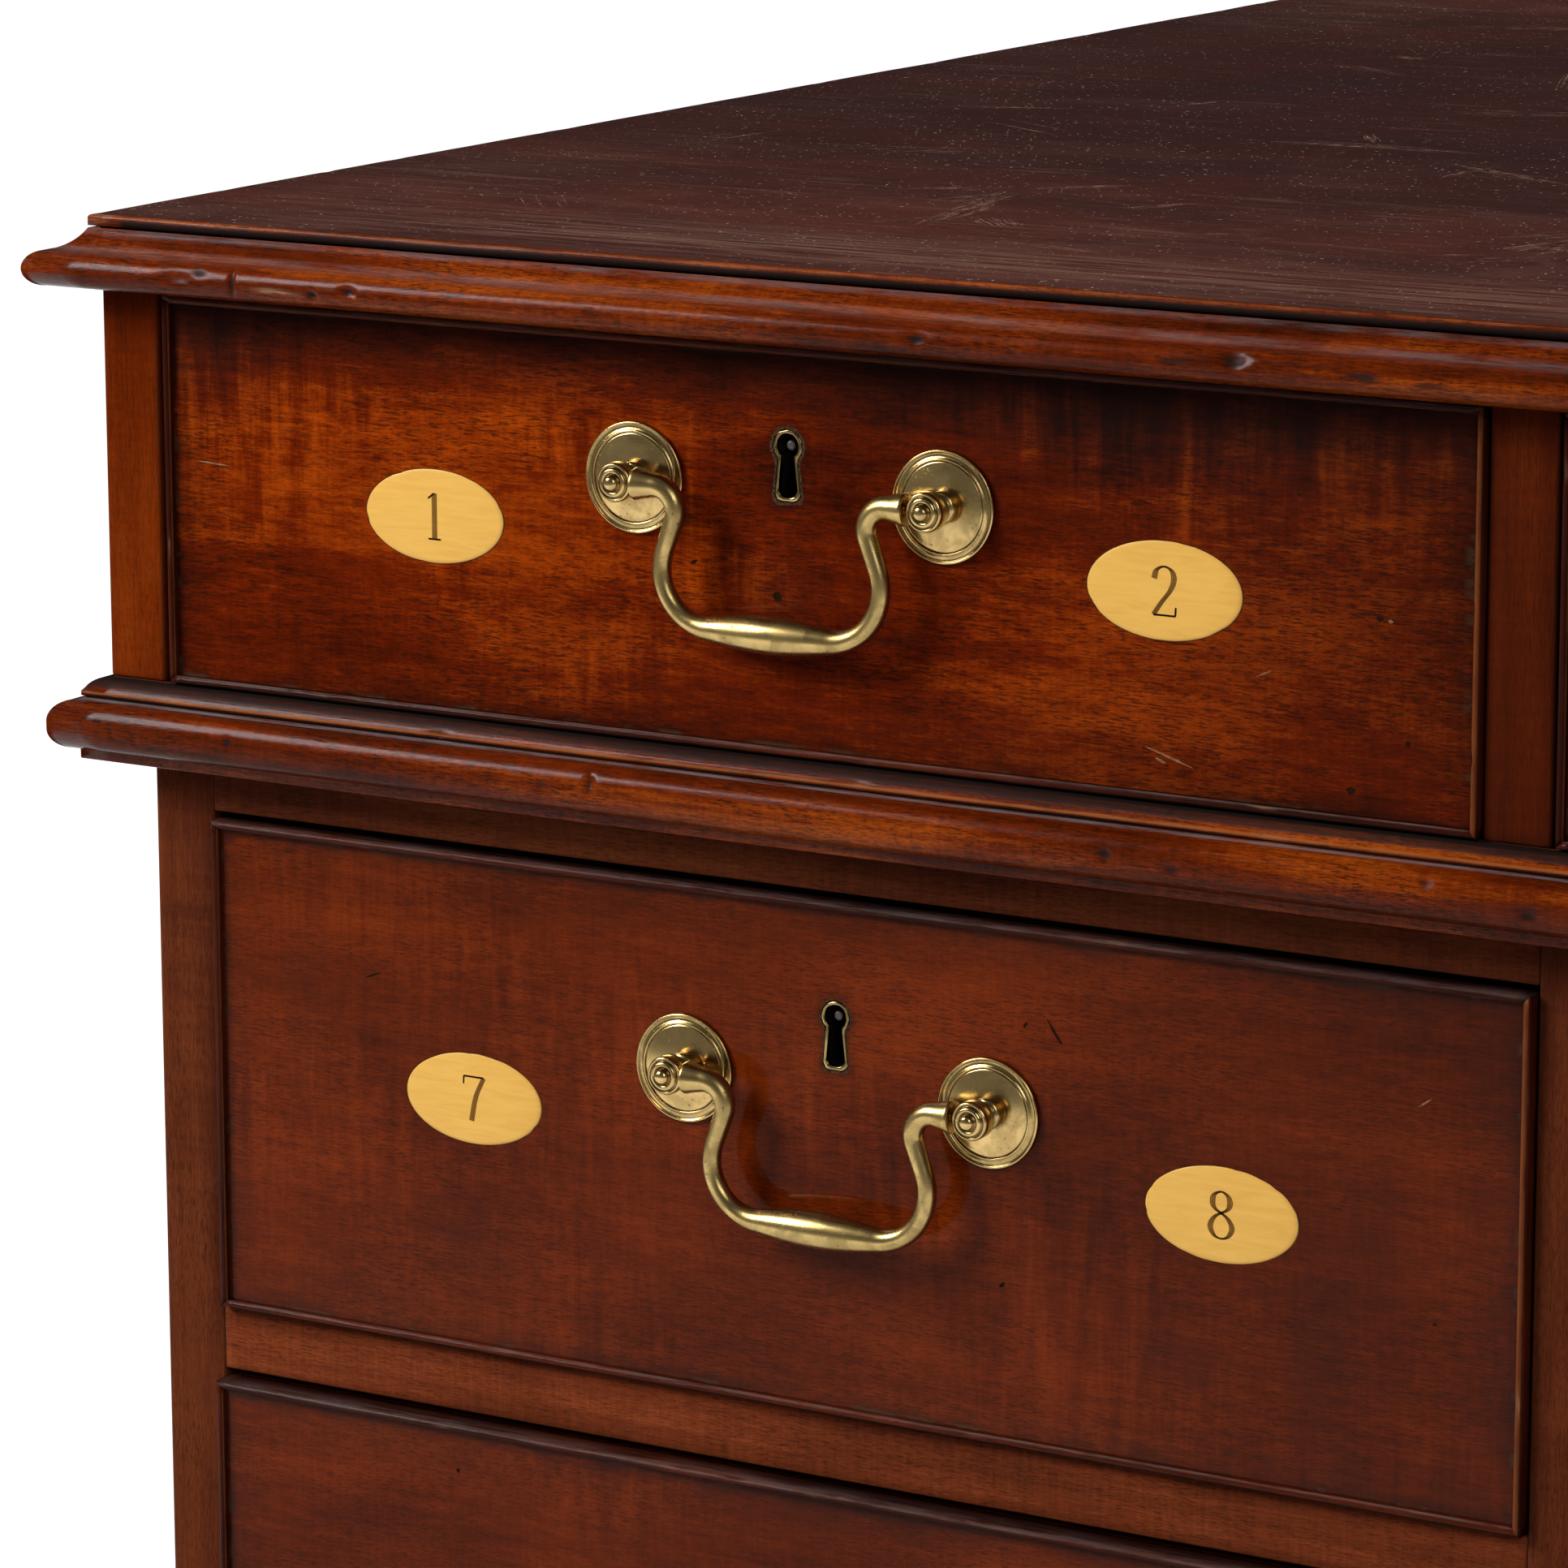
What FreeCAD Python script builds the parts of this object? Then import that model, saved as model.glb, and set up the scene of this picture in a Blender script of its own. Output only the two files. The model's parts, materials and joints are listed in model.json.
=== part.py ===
"""Partners desk: a frieze with drawers on both sides, standing on two pedestals.

Millimetres. X runs along the desk, the front faces -Y and Z points up. The origin is on the floor, under the
middle of the desk. Each pedestal has three drawers in front and a cupboard behind.
"""
import FreeCAD, Part
import math
import os
from types import SimpleNamespace

import Sketcher

PARTS_FOLDER = "parts"

# Driving dimensions. Every cell is one size that can be set by itself.
SIZES = {
    # Frieze
    "frieze_depth": 940.0,
    "frieze_end": 20.0,
    "frieze_partition": 20.0,
    "frieze_spine": 18.0,
    "side_bay": 433.5,
    "centre_bay": 600.0,
    "frieze_bay_height": 119.0,
    "base_rail": 80.0,
    "dust_board": 9.0,
    # Top and its applied edge
    "top_thickness": 21.0,
    "rim_height": 3.4,
    "rim_reach": 2.6,
    "shrinkage_gap": 0.6,
    "edge_reach": 17.0,
    "edge_nose": 5.4,
    "edge_hollow": 12.0,
    # Waist moulding
    "waist_height": 25.0,
    "lip_height": 3.4,
    "lip_reach": 7.0,
    "waist_nose_height": 15.2,
    "waist_nose_reach": 14.2,
    "waist_nose": 6.4,
    "quirk_height": 0.8,
    "quirk_depth": 1.0,
    "strip_reach": 6.6,
    "ovolo_height": 3.8,
    "ovolo_start": 0.6,
    "ovolo_radius": 6.2,
    # Pedestals
    "pedestal_setback": 9.0,
    "pedestal_side": 21.5,
    "pedestal_bay": 436.5,
    "pedestal_top": 15.0,
    "pedestal_bottom": 15.0,
    "pedestal_divider": 15.0,
    "pedestal_foot_gap": 20.0,
    "upper_bay_height": 155.0,
    "middle_bay_height": 163.0,
    "lower_bay_height": 172.0,
    "rail_height": 20.0,
    "rail_depth": 70.0,
    # Plinths
    "plinth_height": 75.0,
    "plinth_reach": 13.0,
    "plinth_cap": 16.0,
    "plinth_step": 1.5,
    "plinth_fillet": 2.5,
    "plinth_hollow": 14.0,
    # Drawers
    "drawer_back_gap": 21.0,
    "drawer_lift": 0.4,
    "frieze_top_gap": 1.4,
    "frieze_side_gap": 1.75,
    "frieze_drawer_shift": 1.2,
    "pedestal_top_gap": 2.2,
    "pedestal_side_gap": 0.8,
    "frieze_proud": 0.0,
    "pedestal_proud": 1.4,
    "middle_proud": 4.8,
    "front_thickness": 20.0,
    "bead_width": 2.6,
    "bead_proud": 2.4,
    "bead_rebate": 8.0,
    "lining": 10.0,
    "lining_inset": 1.0,
    "lining_drop": 5.0,
    "back_drop": 12.0,
    "bottom_rise": 9.0,
    "bottom_thickness": 7.0,
    "groove_depth": 4.0,
    "stop_width": 40.0,
    "stop_depth": 25.0,
    "stop_height": 6.0,
    "stop_gap": 0.3,
    # Handles
    "handle_spacing": 101.0,
    "frieze_handle_rise": 17.3,
    "pedestal_handle_rise": 21.0,
    "rosette_radius": 16.2,
    "rosette_rim": 2.2,
    "rosette_rim_width": 2.4,
    "rosette_field": 1.4,
    "shank_radius": 2.0,
    "shank_gap": 0.2,
    "collar_radius": 4.6,
    "collar_length": 1.4,
    "neck_radius": 3.2,
    "neck_length": 3.8,
    "head_radius": 5.7,
    "head_length": 6.0,
    "head_step_radius": 4.2,
    "head_step": 0.7,
    "nipple_radius": 2.0,
    "nipple_length": 1.4,
    "nut_radius": 5.0,
    "nut_thickness": 3.5,
    "nut_gap": 0.05,
    "pin_radius": 1.6,
    "pin_length": 4.0,
    "pin_gap": 0.3,
    "bail_end_gap": 0.5,
    "bail_drop": 39.6,
    "bail_rod": 2.8,
    "bail_collar": 4.2,
    "bail_collar_length": 5.8,
    "bail_grip": 5.4,
    "bail_shoulder": 35.8,
    "bail_shoulder_bend": 5.3,
    "bail_hip_bend": 13.0,
    "bail_lean": 20.0,
    # Locks and keyholes
    "frieze_keyhole_rise": 30.2,
    "pedestal_keyhole_rise": 42.4,
    "keyhole_radius": 3.5,
    "keyhole_slot": 5.0,
    "keyhole_length": 14.6,
    "thread_width": 1.4,
    "thread_depth": 1.6,
    "thread_proud": 0.2,
    "thread_gap": 0.1,
    "lock_width": 60.0,
    "lock_above": 10.0,
    "lock_below": 26.0,
    "lock_thickness": 9.0,
    "lock_pin_radius": 1.4,
    "lock_pin_recess": 6.0,
    # Cupboard doors and hinges
    "door_thickness": 20.0,
    "door_gap": 1.5,
    "door_stile": 65.0,
    "door_top_rail": 65.0,
    "door_bottom_rail": 80.0,
    "door_panel": 9.0,
    "door_panel_inset": 6.0,
    "door_keyhole_height": 330.0,
    "hinge_gap": 2.4,
    "hinge_leaf_gap": 0.4,
    "hinge_length": 60.0,
    "hinge_axis_out": 5.0,
    "hinge_leaf_out": 0.5,
    "knuckle_radius": 3.5,
    "knuckle_gap": 0.3,
    "hinge_pin_radius": 1.5,
    "hinge_pin_gap": 0.1,
    "hinge_from_end": 90.0,
}

TURN_NONE = FreeCAD.Rotation()
TURN_BACK = FreeCAD.Rotation(FreeCAD.Vector(0, 0, 1), 180)
TURN_LEFT_END = FreeCAD.Rotation(FreeCAD.Vector(0, 0, 1), -90)
TURN_RIGHT_END = FreeCAD.Rotation(FreeCAD.Vector(0, 0, 1), 90)
ALONG_X = FreeCAD.Rotation(FreeCAD.Vector(0, 1, 0), 90)
ALONG_Y = FreeCAD.Rotation(FreeCAD.Vector(1, 0, 0), -90)
HALF_TURN_ABOUT_Y = FreeCAD.Rotation(FreeCAD.Vector(0, 1, 0), 180)
LEFT = -1
RIGHT = 1


class Size:
    """A length worked out from cells of the dimension sheet, kept as an expression."""

    def __init__(self, text):
        self.text = str(text)

    def __str__(self):
        return self.text

    def __add__(self, other):
        return Size(f"({self} + {other})")

    def __radd__(self, other):
        return Size(f"({other} + {self})")

    def __sub__(self, other):
        return Size(f"({self} - {other})")

    def __rsub__(self, other):
        return Size(f"({other} - {self})")

    def __mul__(self, factor):
        return Size(f"({self} * {factor})")

    def __rmul__(self, factor):
        return Size(f"({factor} * {self})")

    def __truediv__(self, divisor):
        return Size(f"({self} / {divisor})")

    def __neg__(self):
        return Size(f"(0 - {self})")


def make_sheet():
    """Write the driving dimensions into the document's sheet, one alias per cell."""
    sheet = doc.addObject("Spreadsheet::Sheet", "Dims")
    for row, (alias, size) in enumerate(SIZES.items(), start=1):
        sheet.set(f"A{row}", alias)
        sheet.set(f"B{row}", str(size))
        sheet.setAlias(f"B{row}", alias)
    doc.recompute()
    return sheet


doc = FreeCAD.newDocument("partners_desk")
dims = make_sheet()
d = SimpleNamespace(**{alias: Size(f"Dims.{alias}") for alias in SIZES})
nodes = []


def value(size):
    """The present value of a size, in millimetres or degrees."""
    return float(dims.evalExpression(str(size)))


def place(piece, x, y, z, rotation=TURN_NONE):
    """Turn a piece and bind its position to the sheet."""
    piece.Placement = FreeCAD.Placement(FreeCAD.Vector(), rotation)
    for axis, size in (("x", x), ("y", y), ("z", z)):
        piece.setExpression(f"Placement.Base.{axis}", str(size))
    return piece


def board(across, deep, high):
    """A straight board between two limits in X, Y and Z."""
    piece = doc.addObject("Part::Box", "Board")
    for name, (low, top) in (("Length", across), ("Width", deep), ("Height", high)):
        piece.setExpression(name, f"{top} - ({low})")
    return place(piece, across[0], deep[0], high[0])


def rod(radius, length, x, y, z, rotation=TURN_NONE):
    """A round rod that starts at a point and runs along the turned Z axis."""
    piece = doc.addObject("Part::Cylinder", "Rod")
    piece.setExpression("Radius", str(radius))
    piece.setExpression("Height", str(length))
    return place(piece, x, y, z, rotation)


def fuse(*pieces):
    """Several overlapping shapes as one solid."""
    whole = doc.addObject("Part::MultiFuse", "Whole")
    whole.Shapes = list(pieces)
    return whole


def cut(base, *tools):
    """A piece with several holes or recesses taken out of it."""
    piece = doc.addObject("Part::Cut", "Cut")
    piece.Base = base
    piece.Tool = tools[0] if len(tools) == 1 else fuse(*tools)
    return piece


def copy_of(master, x, y, z, rotation=TURN_NONE):
    """The same piece again at another place."""
    piece = doc.addObject("Part::Compound", "Copy")
    piece.Links = [master]
    return place(piece, x, y, z, rotation)


def node(name, pieces, x=0, y=0, z=0, rotation=TURN_NONE):
    """A named sub-part: a group of separate solids that is written to one file."""
    group = doc.addObject("Part::Compound", name)
    group.Label = name
    group.Links = pieces
    nodes.append(place(group, x, y, z, rotation))
    return group


def centred(width):
    """Limits of a size that lies evenly about zero."""
    return (-(width / 2), width / 2)


def mirrored(side, near, far):
    """Limits from near to far on the left or the right of the middle."""
    return (near, far) if side == RIGHT else (-far, -near)


def arc_between(start, end, radius, turn):
    """The short arc from start to end; turn is 1 for a left-hand bend and -1 for a right-hand one."""
    middle = (start + end) * 0.5
    chord = end - start
    left = FreeCAD.Vector(-chord.y, chord.x, 0).normalize()
    centre = middle + left * (turn * math.sqrt(radius ** 2 - (chord.Length / 2) ** 2))
    first, last = (start, end) if turn == 1 else (end, start)
    angles = [math.atan2(point.y - centre.y, point.x - centre.x) for point in (first, last)]
    return Part.ArcOfCircle(Part.Circle(centre, FreeCAD.Vector(0, 0, 1), radius), *angles)


def outline(body, role, corners):
    """A closed outline on an origin plane of a body.

    A corner is (x, y), reached by a straight side, or (x, y, radius, turn), reached by an arc.
    """
    sketch = body.newObject("Sketcher::SketchObject", "Outline")
    sketch.AttachmentSupport = [(next(f for f in body.Origin.OriginFeatures if f.Role == role), "")]
    sketch.MapMode = "FlatFace"
    points = [FreeCAD.Vector(value(corner[0]), value(corner[1]), 0) for corner in corners]
    ends = []
    for index, corner in enumerate(corners):
        if len(corner) == 2:
            sketch.addGeometry(Part.LineSegment(points[index - 1], points[index]))
            ends.append((1, 2))
        else:
            radius, turn = corner[2:]
            sketch.addGeometry(arc_between(points[index - 1], points[index], value(radius), turn))
            ends.append((1, 2) if turn == 1 else (2, 1))
    for index, corner in enumerate(corners):
        following = (index + 1) % len(corners)
        finish = ends[index][1]
        sketch.addConstraint(Sketcher.Constraint("Coincident", index, finish, following, ends[following][0]))
        present = (points[index].x, points[index].y)
        for kind, size, number_now in zip(("DistanceX", "DistanceY"), corner[:2], present):
            number = sketch.addConstraint(Sketcher.Constraint(kind, index, finish, number_now))
            sketch.setExpression(f"Constraints[{number}]", str(size))
        if len(corner) > 2:
            number = sketch.addConstraint(Sketcher.Constraint("Radius", index, value(corner[2])))
            sketch.setExpression(f"Constraints[{number}]", str(corner[2]))
    return sketch


def mitred_length(profile, inner_length, reach):
    """A moulding along X with mitred ends; its inner face is at Y 0 and it reaches to -Y."""
    body = doc.addObject("PartDesign::Body", "Moulding")
    pad = body.newObject("PartDesign::Pad", "Length")
    pad.Profile = outline(body, "YZ_Plane", profile)
    pad.setExpression("Length", str(inner_length + 2 * reach))
    pad.Midplane = True
    doc.recompute()
    whole = pad.Shape.Volume
    half = inner_length / 2
    for side in (LEFT, RIGHT):
        mitre = body.newObject("PartDesign::Pocket", "Mitre")
        end = side * (half + reach)
        mitre.Profile = outline(body, "XY_Plane", [(side * half, 0), (end, 0), (end, -reach)])
        mitre.Type = "ThroughAll"
        mitre.Midplane = True
    doc.recompute()
    if body.Shape.Volume >= whole:
        raise RuntimeError("a mitre cut nothing")
    return body


def turned(profile):
    """A turned piece: the profile gives (radius, y) and goes round the Y axis."""
    body = doc.addObject("PartDesign::Body", "Turned")
    sketch = outline(body, "XY_Plane", profile)
    revolution = body.newObject("PartDesign::Revolution", "Turning")
    revolution.Profile = sketch
    revolution.ReferenceAxis = (sketch, ["V_Axis"])
    revolution.Angle = 360
    return body


def moulding_round(profile, reach, width, depth, z, x=0):
    """Four mitred lengths of a moulding round a rectangle of the given width and depth."""
    long = mitred_length(profile, width, reach)
    short = mitred_length(profile, depth, reach)
    return [
        copy_of(long, x, -depth / 2, z),
        copy_of(long, x, depth / 2, z, TURN_BACK),
        copy_of(short, x - width / 2, 0, z, TURN_LEFT_END),
        copy_of(short, x + width / 2, 0, z, TURN_RIGHT_END),
    ]


# Levels and widths that several sub-parts share

frieze_width = 2 * (d.frieze_end + d.side_bay + d.frieze_partition) + d.centre_bay
pedestal_width = d.pedestal_bay + 2 * d.pedestal_side
pedestal_depth = d.frieze_depth - 2 * d.pedestal_setback
pedestal_x = frieze_width / 2 - d.pedestal_setback - pedestal_width / 2
lower_z = d.plinth_height
middle_z = lower_z + d.lower_bay_height + d.rail_height
upper_z = middle_z + d.middle_bay_height + d.rail_height
bays_top_z = upper_z + d.upper_bay_height
pedestal_top_z = bays_top_z + d.pedestal_top
frieze_z = pedestal_top_z + d.waist_height
frieze_top_z = frieze_z + d.frieze_bay_height
desk_height = frieze_top_z + d.top_thickness
side_bay_x = d.centre_bay / 2 + d.frieze_partition + d.side_bay / 2
cupboard_height = bays_top_z - lower_z


def drawer_kind(bay_width, bay_height, room, side_gap, top_gap, proud, handle_rise, keyhole_rise):
    """The sizes of one kind of drawer, measured from the middle of its opening's lower edge."""
    width = bay_width - 2 * side_gap
    height = bay_height - d.drawer_lift - top_gap
    middle = d.drawer_lift + height / 2
    return SimpleNamespace(
        bay_width=bay_width, width=width, height=height, low=d.drawer_lift, top=d.drawer_lift + height,
        face=-proud, back_of_front=d.front_thickness - proud,
        end=room - d.drawer_back_gap - proud, handle_z=middle + handle_rise, keyhole_z=middle + keyhole_rise)


def frieze_kind(bay_width):
    """A drawer of the frieze."""
    room = d.frieze_depth / 2 - d.frieze_spine / 2
    return drawer_kind(bay_width, d.frieze_bay_height, room, d.frieze_side_gap, d.frieze_top_gap,
                       d.frieze_proud, d.frieze_handle_rise, d.frieze_keyhole_rise)


def pedestal_kind(bay_height, proud):
    """A drawer of a pedestal."""
    room = pedestal_depth / 2 - d.pedestal_divider / 2
    return drawer_kind(d.pedestal_bay, bay_height, room, d.pedestal_side_gap, d.pedestal_top_gap,
                       proud, d.pedestal_handle_rise, d.pedestal_keyhole_rise)


KINDS = {
    "side": frieze_kind(d.side_bay),
    "centre": frieze_kind(d.centre_bay),
    "upper": pedestal_kind(d.upper_bay_height, d.pedestal_proud),
    "middle": pedestal_kind(d.middle_bay_height, d.middle_proud),
    "lower": pedestal_kind(d.lower_bay_height, d.pedestal_proud),
}


# Locks and keyholes

def keyhole_form(margin, near, far):
    """A keyhole-shaped block about a vertical slot, its round head on the origin, between two depths in Y."""
    half_slot = d.keyhole_slot / 2 + margin
    head = rod(d.keyhole_radius + margin, far - near, 0, near, 0, ALONG_Y)
    slot = board((-half_slot, half_slot), (near, far), (-(d.keyhole_length + margin), 0))
    return fuse(head, slot)


def make_escutcheon():
    """The brass thread that lines a keyhole, let into the face."""
    return cut(keyhole_form(d.thread_width, -d.thread_proud, d.thread_depth),
               keyhole_form(0, -(2 * d.thread_proud), 2 * d.thread_depth))


def make_keyhole_cutter():
    """What a front loses for its keyhole: the thread's seat and the way through to the lock."""
    seat = keyhole_form(d.thread_width + d.thread_gap, -d.front_thickness, d.thread_depth)
    return fuse(seat, keyhole_form(0, -d.front_thickness, 2 * d.front_thickness))


def make_lock(thickness):
    """A lock case on the back of a front of the given thickness, with its pin in the keyhole."""
    back = thickness + d.lock_thickness
    case = board(centred(d.lock_width), (thickness, back), (-d.lock_below, d.lock_above))
    pin = rod(d.lock_pin_radius, back - d.lock_pin_recess, 0, d.lock_pin_recess, 0, ALONG_Y)
    return fuse(case, pin)


# Handles: rosettes, posts, nuts and swan-neck bails

bail_axis_out = d.rosette_field + d.collar_length + d.neck_length + d.head_length / 2
bail_end_x = d.handle_spacing / 2 - d.head_radius - d.bail_end_gap


def make_rosette():
    """A round brass plate with a raised rim, pierced for the post."""
    inner_rim = d.rosette_radius - d.rosette_rim_width
    hole = d.shank_radius + d.shank_gap
    return turned([(hole, 0), (d.rosette_radius, 0), (d.rosette_radius, -d.rosette_rim),
                   (inner_rim, -d.rosette_rim), (inner_rim, -d.rosette_field), (hole, -d.rosette_field)])


def make_post():
    """A turned post from shank to nipple, with a blind hole for the bail's pin on its +X side."""
    collar = -(d.rosette_field + d.collar_length)
    neck = collar - d.neck_length
    head = neck - d.head_length
    step = head - d.head_step
    nipple = step - d.nipple_length
    profile = [(0, d.front_thickness + d.nut_thickness), (0, nipple), (d.nipple_radius, nipple)]
    profile += [(d.nipple_radius, step), (d.head_step_radius, step), (d.head_step_radius, head)]
    profile += [(d.head_radius, head), (d.head_radius, neck), (d.neck_radius, neck), (d.neck_radius, collar)]
    profile += [(d.collar_radius, collar), (d.collar_radius, -d.rosette_field)]
    profile += [(d.shank_radius, -d.rosette_field), (d.shank_radius, d.front_thickness + d.nut_thickness)]
    reach_in = d.pin_length - d.bail_end_gap + d.pin_gap
    start = d.head_radius - reach_in
    hole = rod(d.pin_radius + d.pin_gap, reach_in + d.head_radius, start, -bail_axis_out, 0, ALONG_X)
    return cut(turned(profile), hole)


def make_nut():
    """A six-sided nut on the end of a post's shank, behind the front."""
    block = doc.addObject("Part::Prism", "Nut")
    block.Polygon = 6
    block.setExpression("Circumradius", str(d.nut_radius))
    block.setExpression("Height", str(d.nut_thickness))
    place(block, 0, d.front_thickness, 0, ALONG_Y)
    return cut(block, rod(d.shank_radius + d.nut_gap, d.front_thickness, 0, d.front_thickness, 0, ALONG_Y))


def make_bail():
    """A swan-neck bail about its hinge axis: a bent rod with a swelling grip and flared ends."""
    along, inwards, across = FreeCAD.Vector(1, 0, 0), FreeCAD.Vector(-1, 0, 0), FreeCAD.Vector(0, 1, 0)
    lean = math.radians(value(d.bail_lean))
    rod_radius, shoulder, drop = value(d.bail_rod), value(d.bail_shoulder), value(d.bail_drop)
    small_bend, large_bend, end_x = value(d.bail_shoulder_bend), value(d.bail_hip_bend), value(bail_end_x)
    leaning = FreeCAD.Vector(math.sin(lean), 0, -math.cos(lean))
    inward = FreeCAD.Vector(-math.cos(lean), 0, -math.sin(lean))

    shoulder_centre = FreeCAD.Vector(shoulder, 0, -small_bend)
    neck_start = shoulder_centre + inward * small_bend
    neck_length = (neck_start.z + drop - large_bend - large_bend * math.sin(lean)) / math.cos(lean)
    hip_centre = neck_start + leaning * neck_length + inward * large_bend

    def section(point, direction):
        return Part.Face(Part.Wire(Part.makeCircle(rod_radius, point, direction)))

    turn = 90 + math.degrees(lean)
    end = FreeCAD.Vector(end_x, 0, 0)
    run = section(end, inwards).extrude(along * (shoulder - end_x))
    bend = section(along * shoulder, inwards).revolve(shoulder_centre, across, -turn)
    neck = section(neck_start, leaning).extrude(leaning * neck_length)
    hip = section(neck_start + leaning * neck_length, leaning).revolve(hip_centre, across, turn)
    flare = Part.makeCone(value(d.bail_collar), rod_radius, value(d.bail_collar_length), end, inwards)
    pin = Part.makeCylinder(value(d.pin_radius), value(d.pin_length), end, along)
    half = [run, bend, neck, hip, flare, pin]
    other = [piece.mirror(FreeCAD.Vector(), along) for piece in half]

    grip_axis = FreeCAD.Vector(0, 0, -drop)
    left = FreeCAD.Vector(-hip_centre.x, 0, rod_radius - drop)
    right = FreeCAD.Vector(hip_centre.x, 0, rod_radius - drop)
    swelling = Part.Arc(left, FreeCAD.Vector(0, 0, value(d.bail_grip) - drop), right).toShape()
    right_foot, left_foot = FreeCAD.Vector(right.x, 0, -drop), FreeCAD.Vector(left.x, 0, -drop)
    sides = Part.makePolygon([right, right_foot, left_foot, left])
    grip = Part.Face(Part.Wire([swelling] + sides.Edges)).revolve(grip_axis, along, 360)
    bail = doc.addObject("Part::Feature", "Bail")
    bail.Shape = grip.multiFuse(half + other).removeSplitter()
    return bail


def handle_pieces(kind, rosette, post, nut):
    """Two rosettes, two posts and two nuts on a drawer front."""
    pieces = []
    for side, rotation in ((LEFT, TURN_NONE), (RIGHT, HALF_TURN_ABOUT_Y)):
        for piece in (rosette, post, nut):
            pieces.append(copy_of(piece, side * d.handle_spacing / 2, kind.face, kind.handle_z, rotation))
    return pieces


# Drawers

def make_bead(inner_length):
    """One cockbead strip with a round nose, laid with its nose at Z 0 and its back in the rebate."""
    depth = d.bead_proud + d.bead_rebate
    nose = d.bead_width / 2
    profile = [(0, depth), (-d.bead_width, depth), (-d.bead_width, nose)]
    profile += [(-nose, 0, nose, 1), (0, nose, nose, 1)]
    return mitred_length(profile, inner_length, d.bead_width)


def bead_turn(angle):
    """Stands a bead strip up in the plane of the front, its outer edge turned by the angle from upwards."""
    return FreeCAD.Rotation(FreeCAD.Vector(0, 1, 0), angle).multiply(ALONG_Y)


def front_pieces(kind, keyhole_cutter):
    """A drawer front, rebated for its cockbeads and pierced for posts and key, with the four beads."""
    field_x, low, top = kind.width / 2 - d.bead_width, kind.low + d.bead_width, kind.top - d.bead_width
    rebate_y = kind.face + d.bead_rebate
    field = board((-field_x, field_x), (kind.face, rebate_y), (low, top))
    backing = board(centred(kind.width), (rebate_y, kind.back_of_front), (kind.low, kind.top))
    hole = d.shank_radius + d.shank_gap
    holes = [rod(hole, d.front_thickness, side * d.handle_spacing / 2, kind.face, kind.handle_z, ALONG_Y)
             for side in (LEFT, RIGHT)]
    face = cut(fuse(field, backing), copy_of(keyhole_cutter, 0, kind.face, kind.keyhole_z), *holes)
    level, upright = make_bead(2 * field_x), make_bead(top - low)
    nose_y, middle = kind.face - d.bead_proud, (low + top) / 2
    return [face,
            copy_of(level, 0, nose_y, top, bead_turn(0)), copy_of(level, 0, nose_y, low, bead_turn(180)),
            copy_of(upright, -field_x, nose_y, middle, bead_turn(-90)),
            copy_of(upright, field_x, nose_y, middle, bead_turn(90))]


def box_pieces(kind):
    """The linings of a drawer: two grooved sides, a back and a bottom that slides into the grooves."""
    outer = kind.width / 2 - d.lining_inset
    inner = outer - d.lining
    length = (kind.back_of_front, kind.end)
    bottom_low = kind.low + d.bottom_rise
    bottom = (bottom_low, bottom_low + d.bottom_thickness)
    pieces = []
    for side in (LEFT, RIGHT):
        plank = board(mirrored(side, inner, outer), length, (kind.low, kind.top - d.lining_drop))
        groove = board(mirrored(side, inner, inner + d.groove_depth), length, bottom)
        pieces.append(cut(plank, groove))
    back_z = (bottom[1], kind.top - d.back_drop)
    pieces.append(board((-inner, inner), (kind.end - d.lining, kind.end), back_z))
    pieces.append(board(centred(2 * (inner + d.groove_depth)), length, bottom))
    return pieces


def stops(kind, x, face_y, z, inwards):
    """Two blocks that stop a drawer behind its front; inwards is 1 for front drawers and -1 for back ones."""
    near = face_y + inwards * (kind.back_of_front + d.stop_gap)
    far = near + inwards * d.stop_depth
    deep = (near, far) if inwards == 1 else (far, near)
    high = (z, z + d.stop_height)
    blocks = []
    for side in (LEFT, RIGHT):
        middle = x + side * kind.bay_width / 4
        blocks.append(board((middle - d.stop_width / 2, middle + d.stop_width / 2), deep, high))
    return blocks


def make_drawers():
    """Every drawer as four nodes: front, box, fittings and bail."""
    rosette, post, nut, bail = make_rosette(), make_post(), make_nut(), make_bail()
    keyhole_cutter, escutcheon, lock = make_keyhole_cutter(), make_escutcheon(), make_lock(d.front_thickness)
    masters = {}
    for name, kind in KINDS.items():
        lock_pieces = [copy_of(piece, 0, kind.face, kind.keyhole_z) for piece in (escutcheon, lock)]
        masters[name] = {
            "front": front_pieces(kind, keyhole_cutter),
            "box": box_pieces(kind),
            "fittings": handle_pieces(kind, rosette, post, nut) + lock_pieces,
            "bail": [copy_of(bail, 0, kind.face - bail_axis_out, kind.handle_z)],
        }
    face_y = d.frieze_depth / 2
    side_x = side_bay_x - d.frieze_drawer_shift
    frieze_places = (("left", -side_x, "side"), ("centre", 0, "centre"), ("right", side_x, "side"))
    for row, y, rotation in (("front", -face_y, TURN_NONE), ("back", face_y, TURN_BACK)):
        for place_name, x, kind_name in frieze_places:
            for part, pieces in masters[kind_name].items():
                node(f"{row}_{place_name}_frieze_drawer_{part}", pieces, x, y, frieze_z, rotation)
    for side_name, side in (("left", LEFT), ("right", RIGHT)):
        for kind_name, z in (("upper", upper_z), ("middle", middle_z), ("lower", lower_z)):
            for part, pieces in masters[kind_name].items():
                name = f"{side_name}_{kind_name}_drawer_{part}"
                node(name, pieces, side * pedestal_x, -pedestal_depth / 2, z)


# Top

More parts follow.
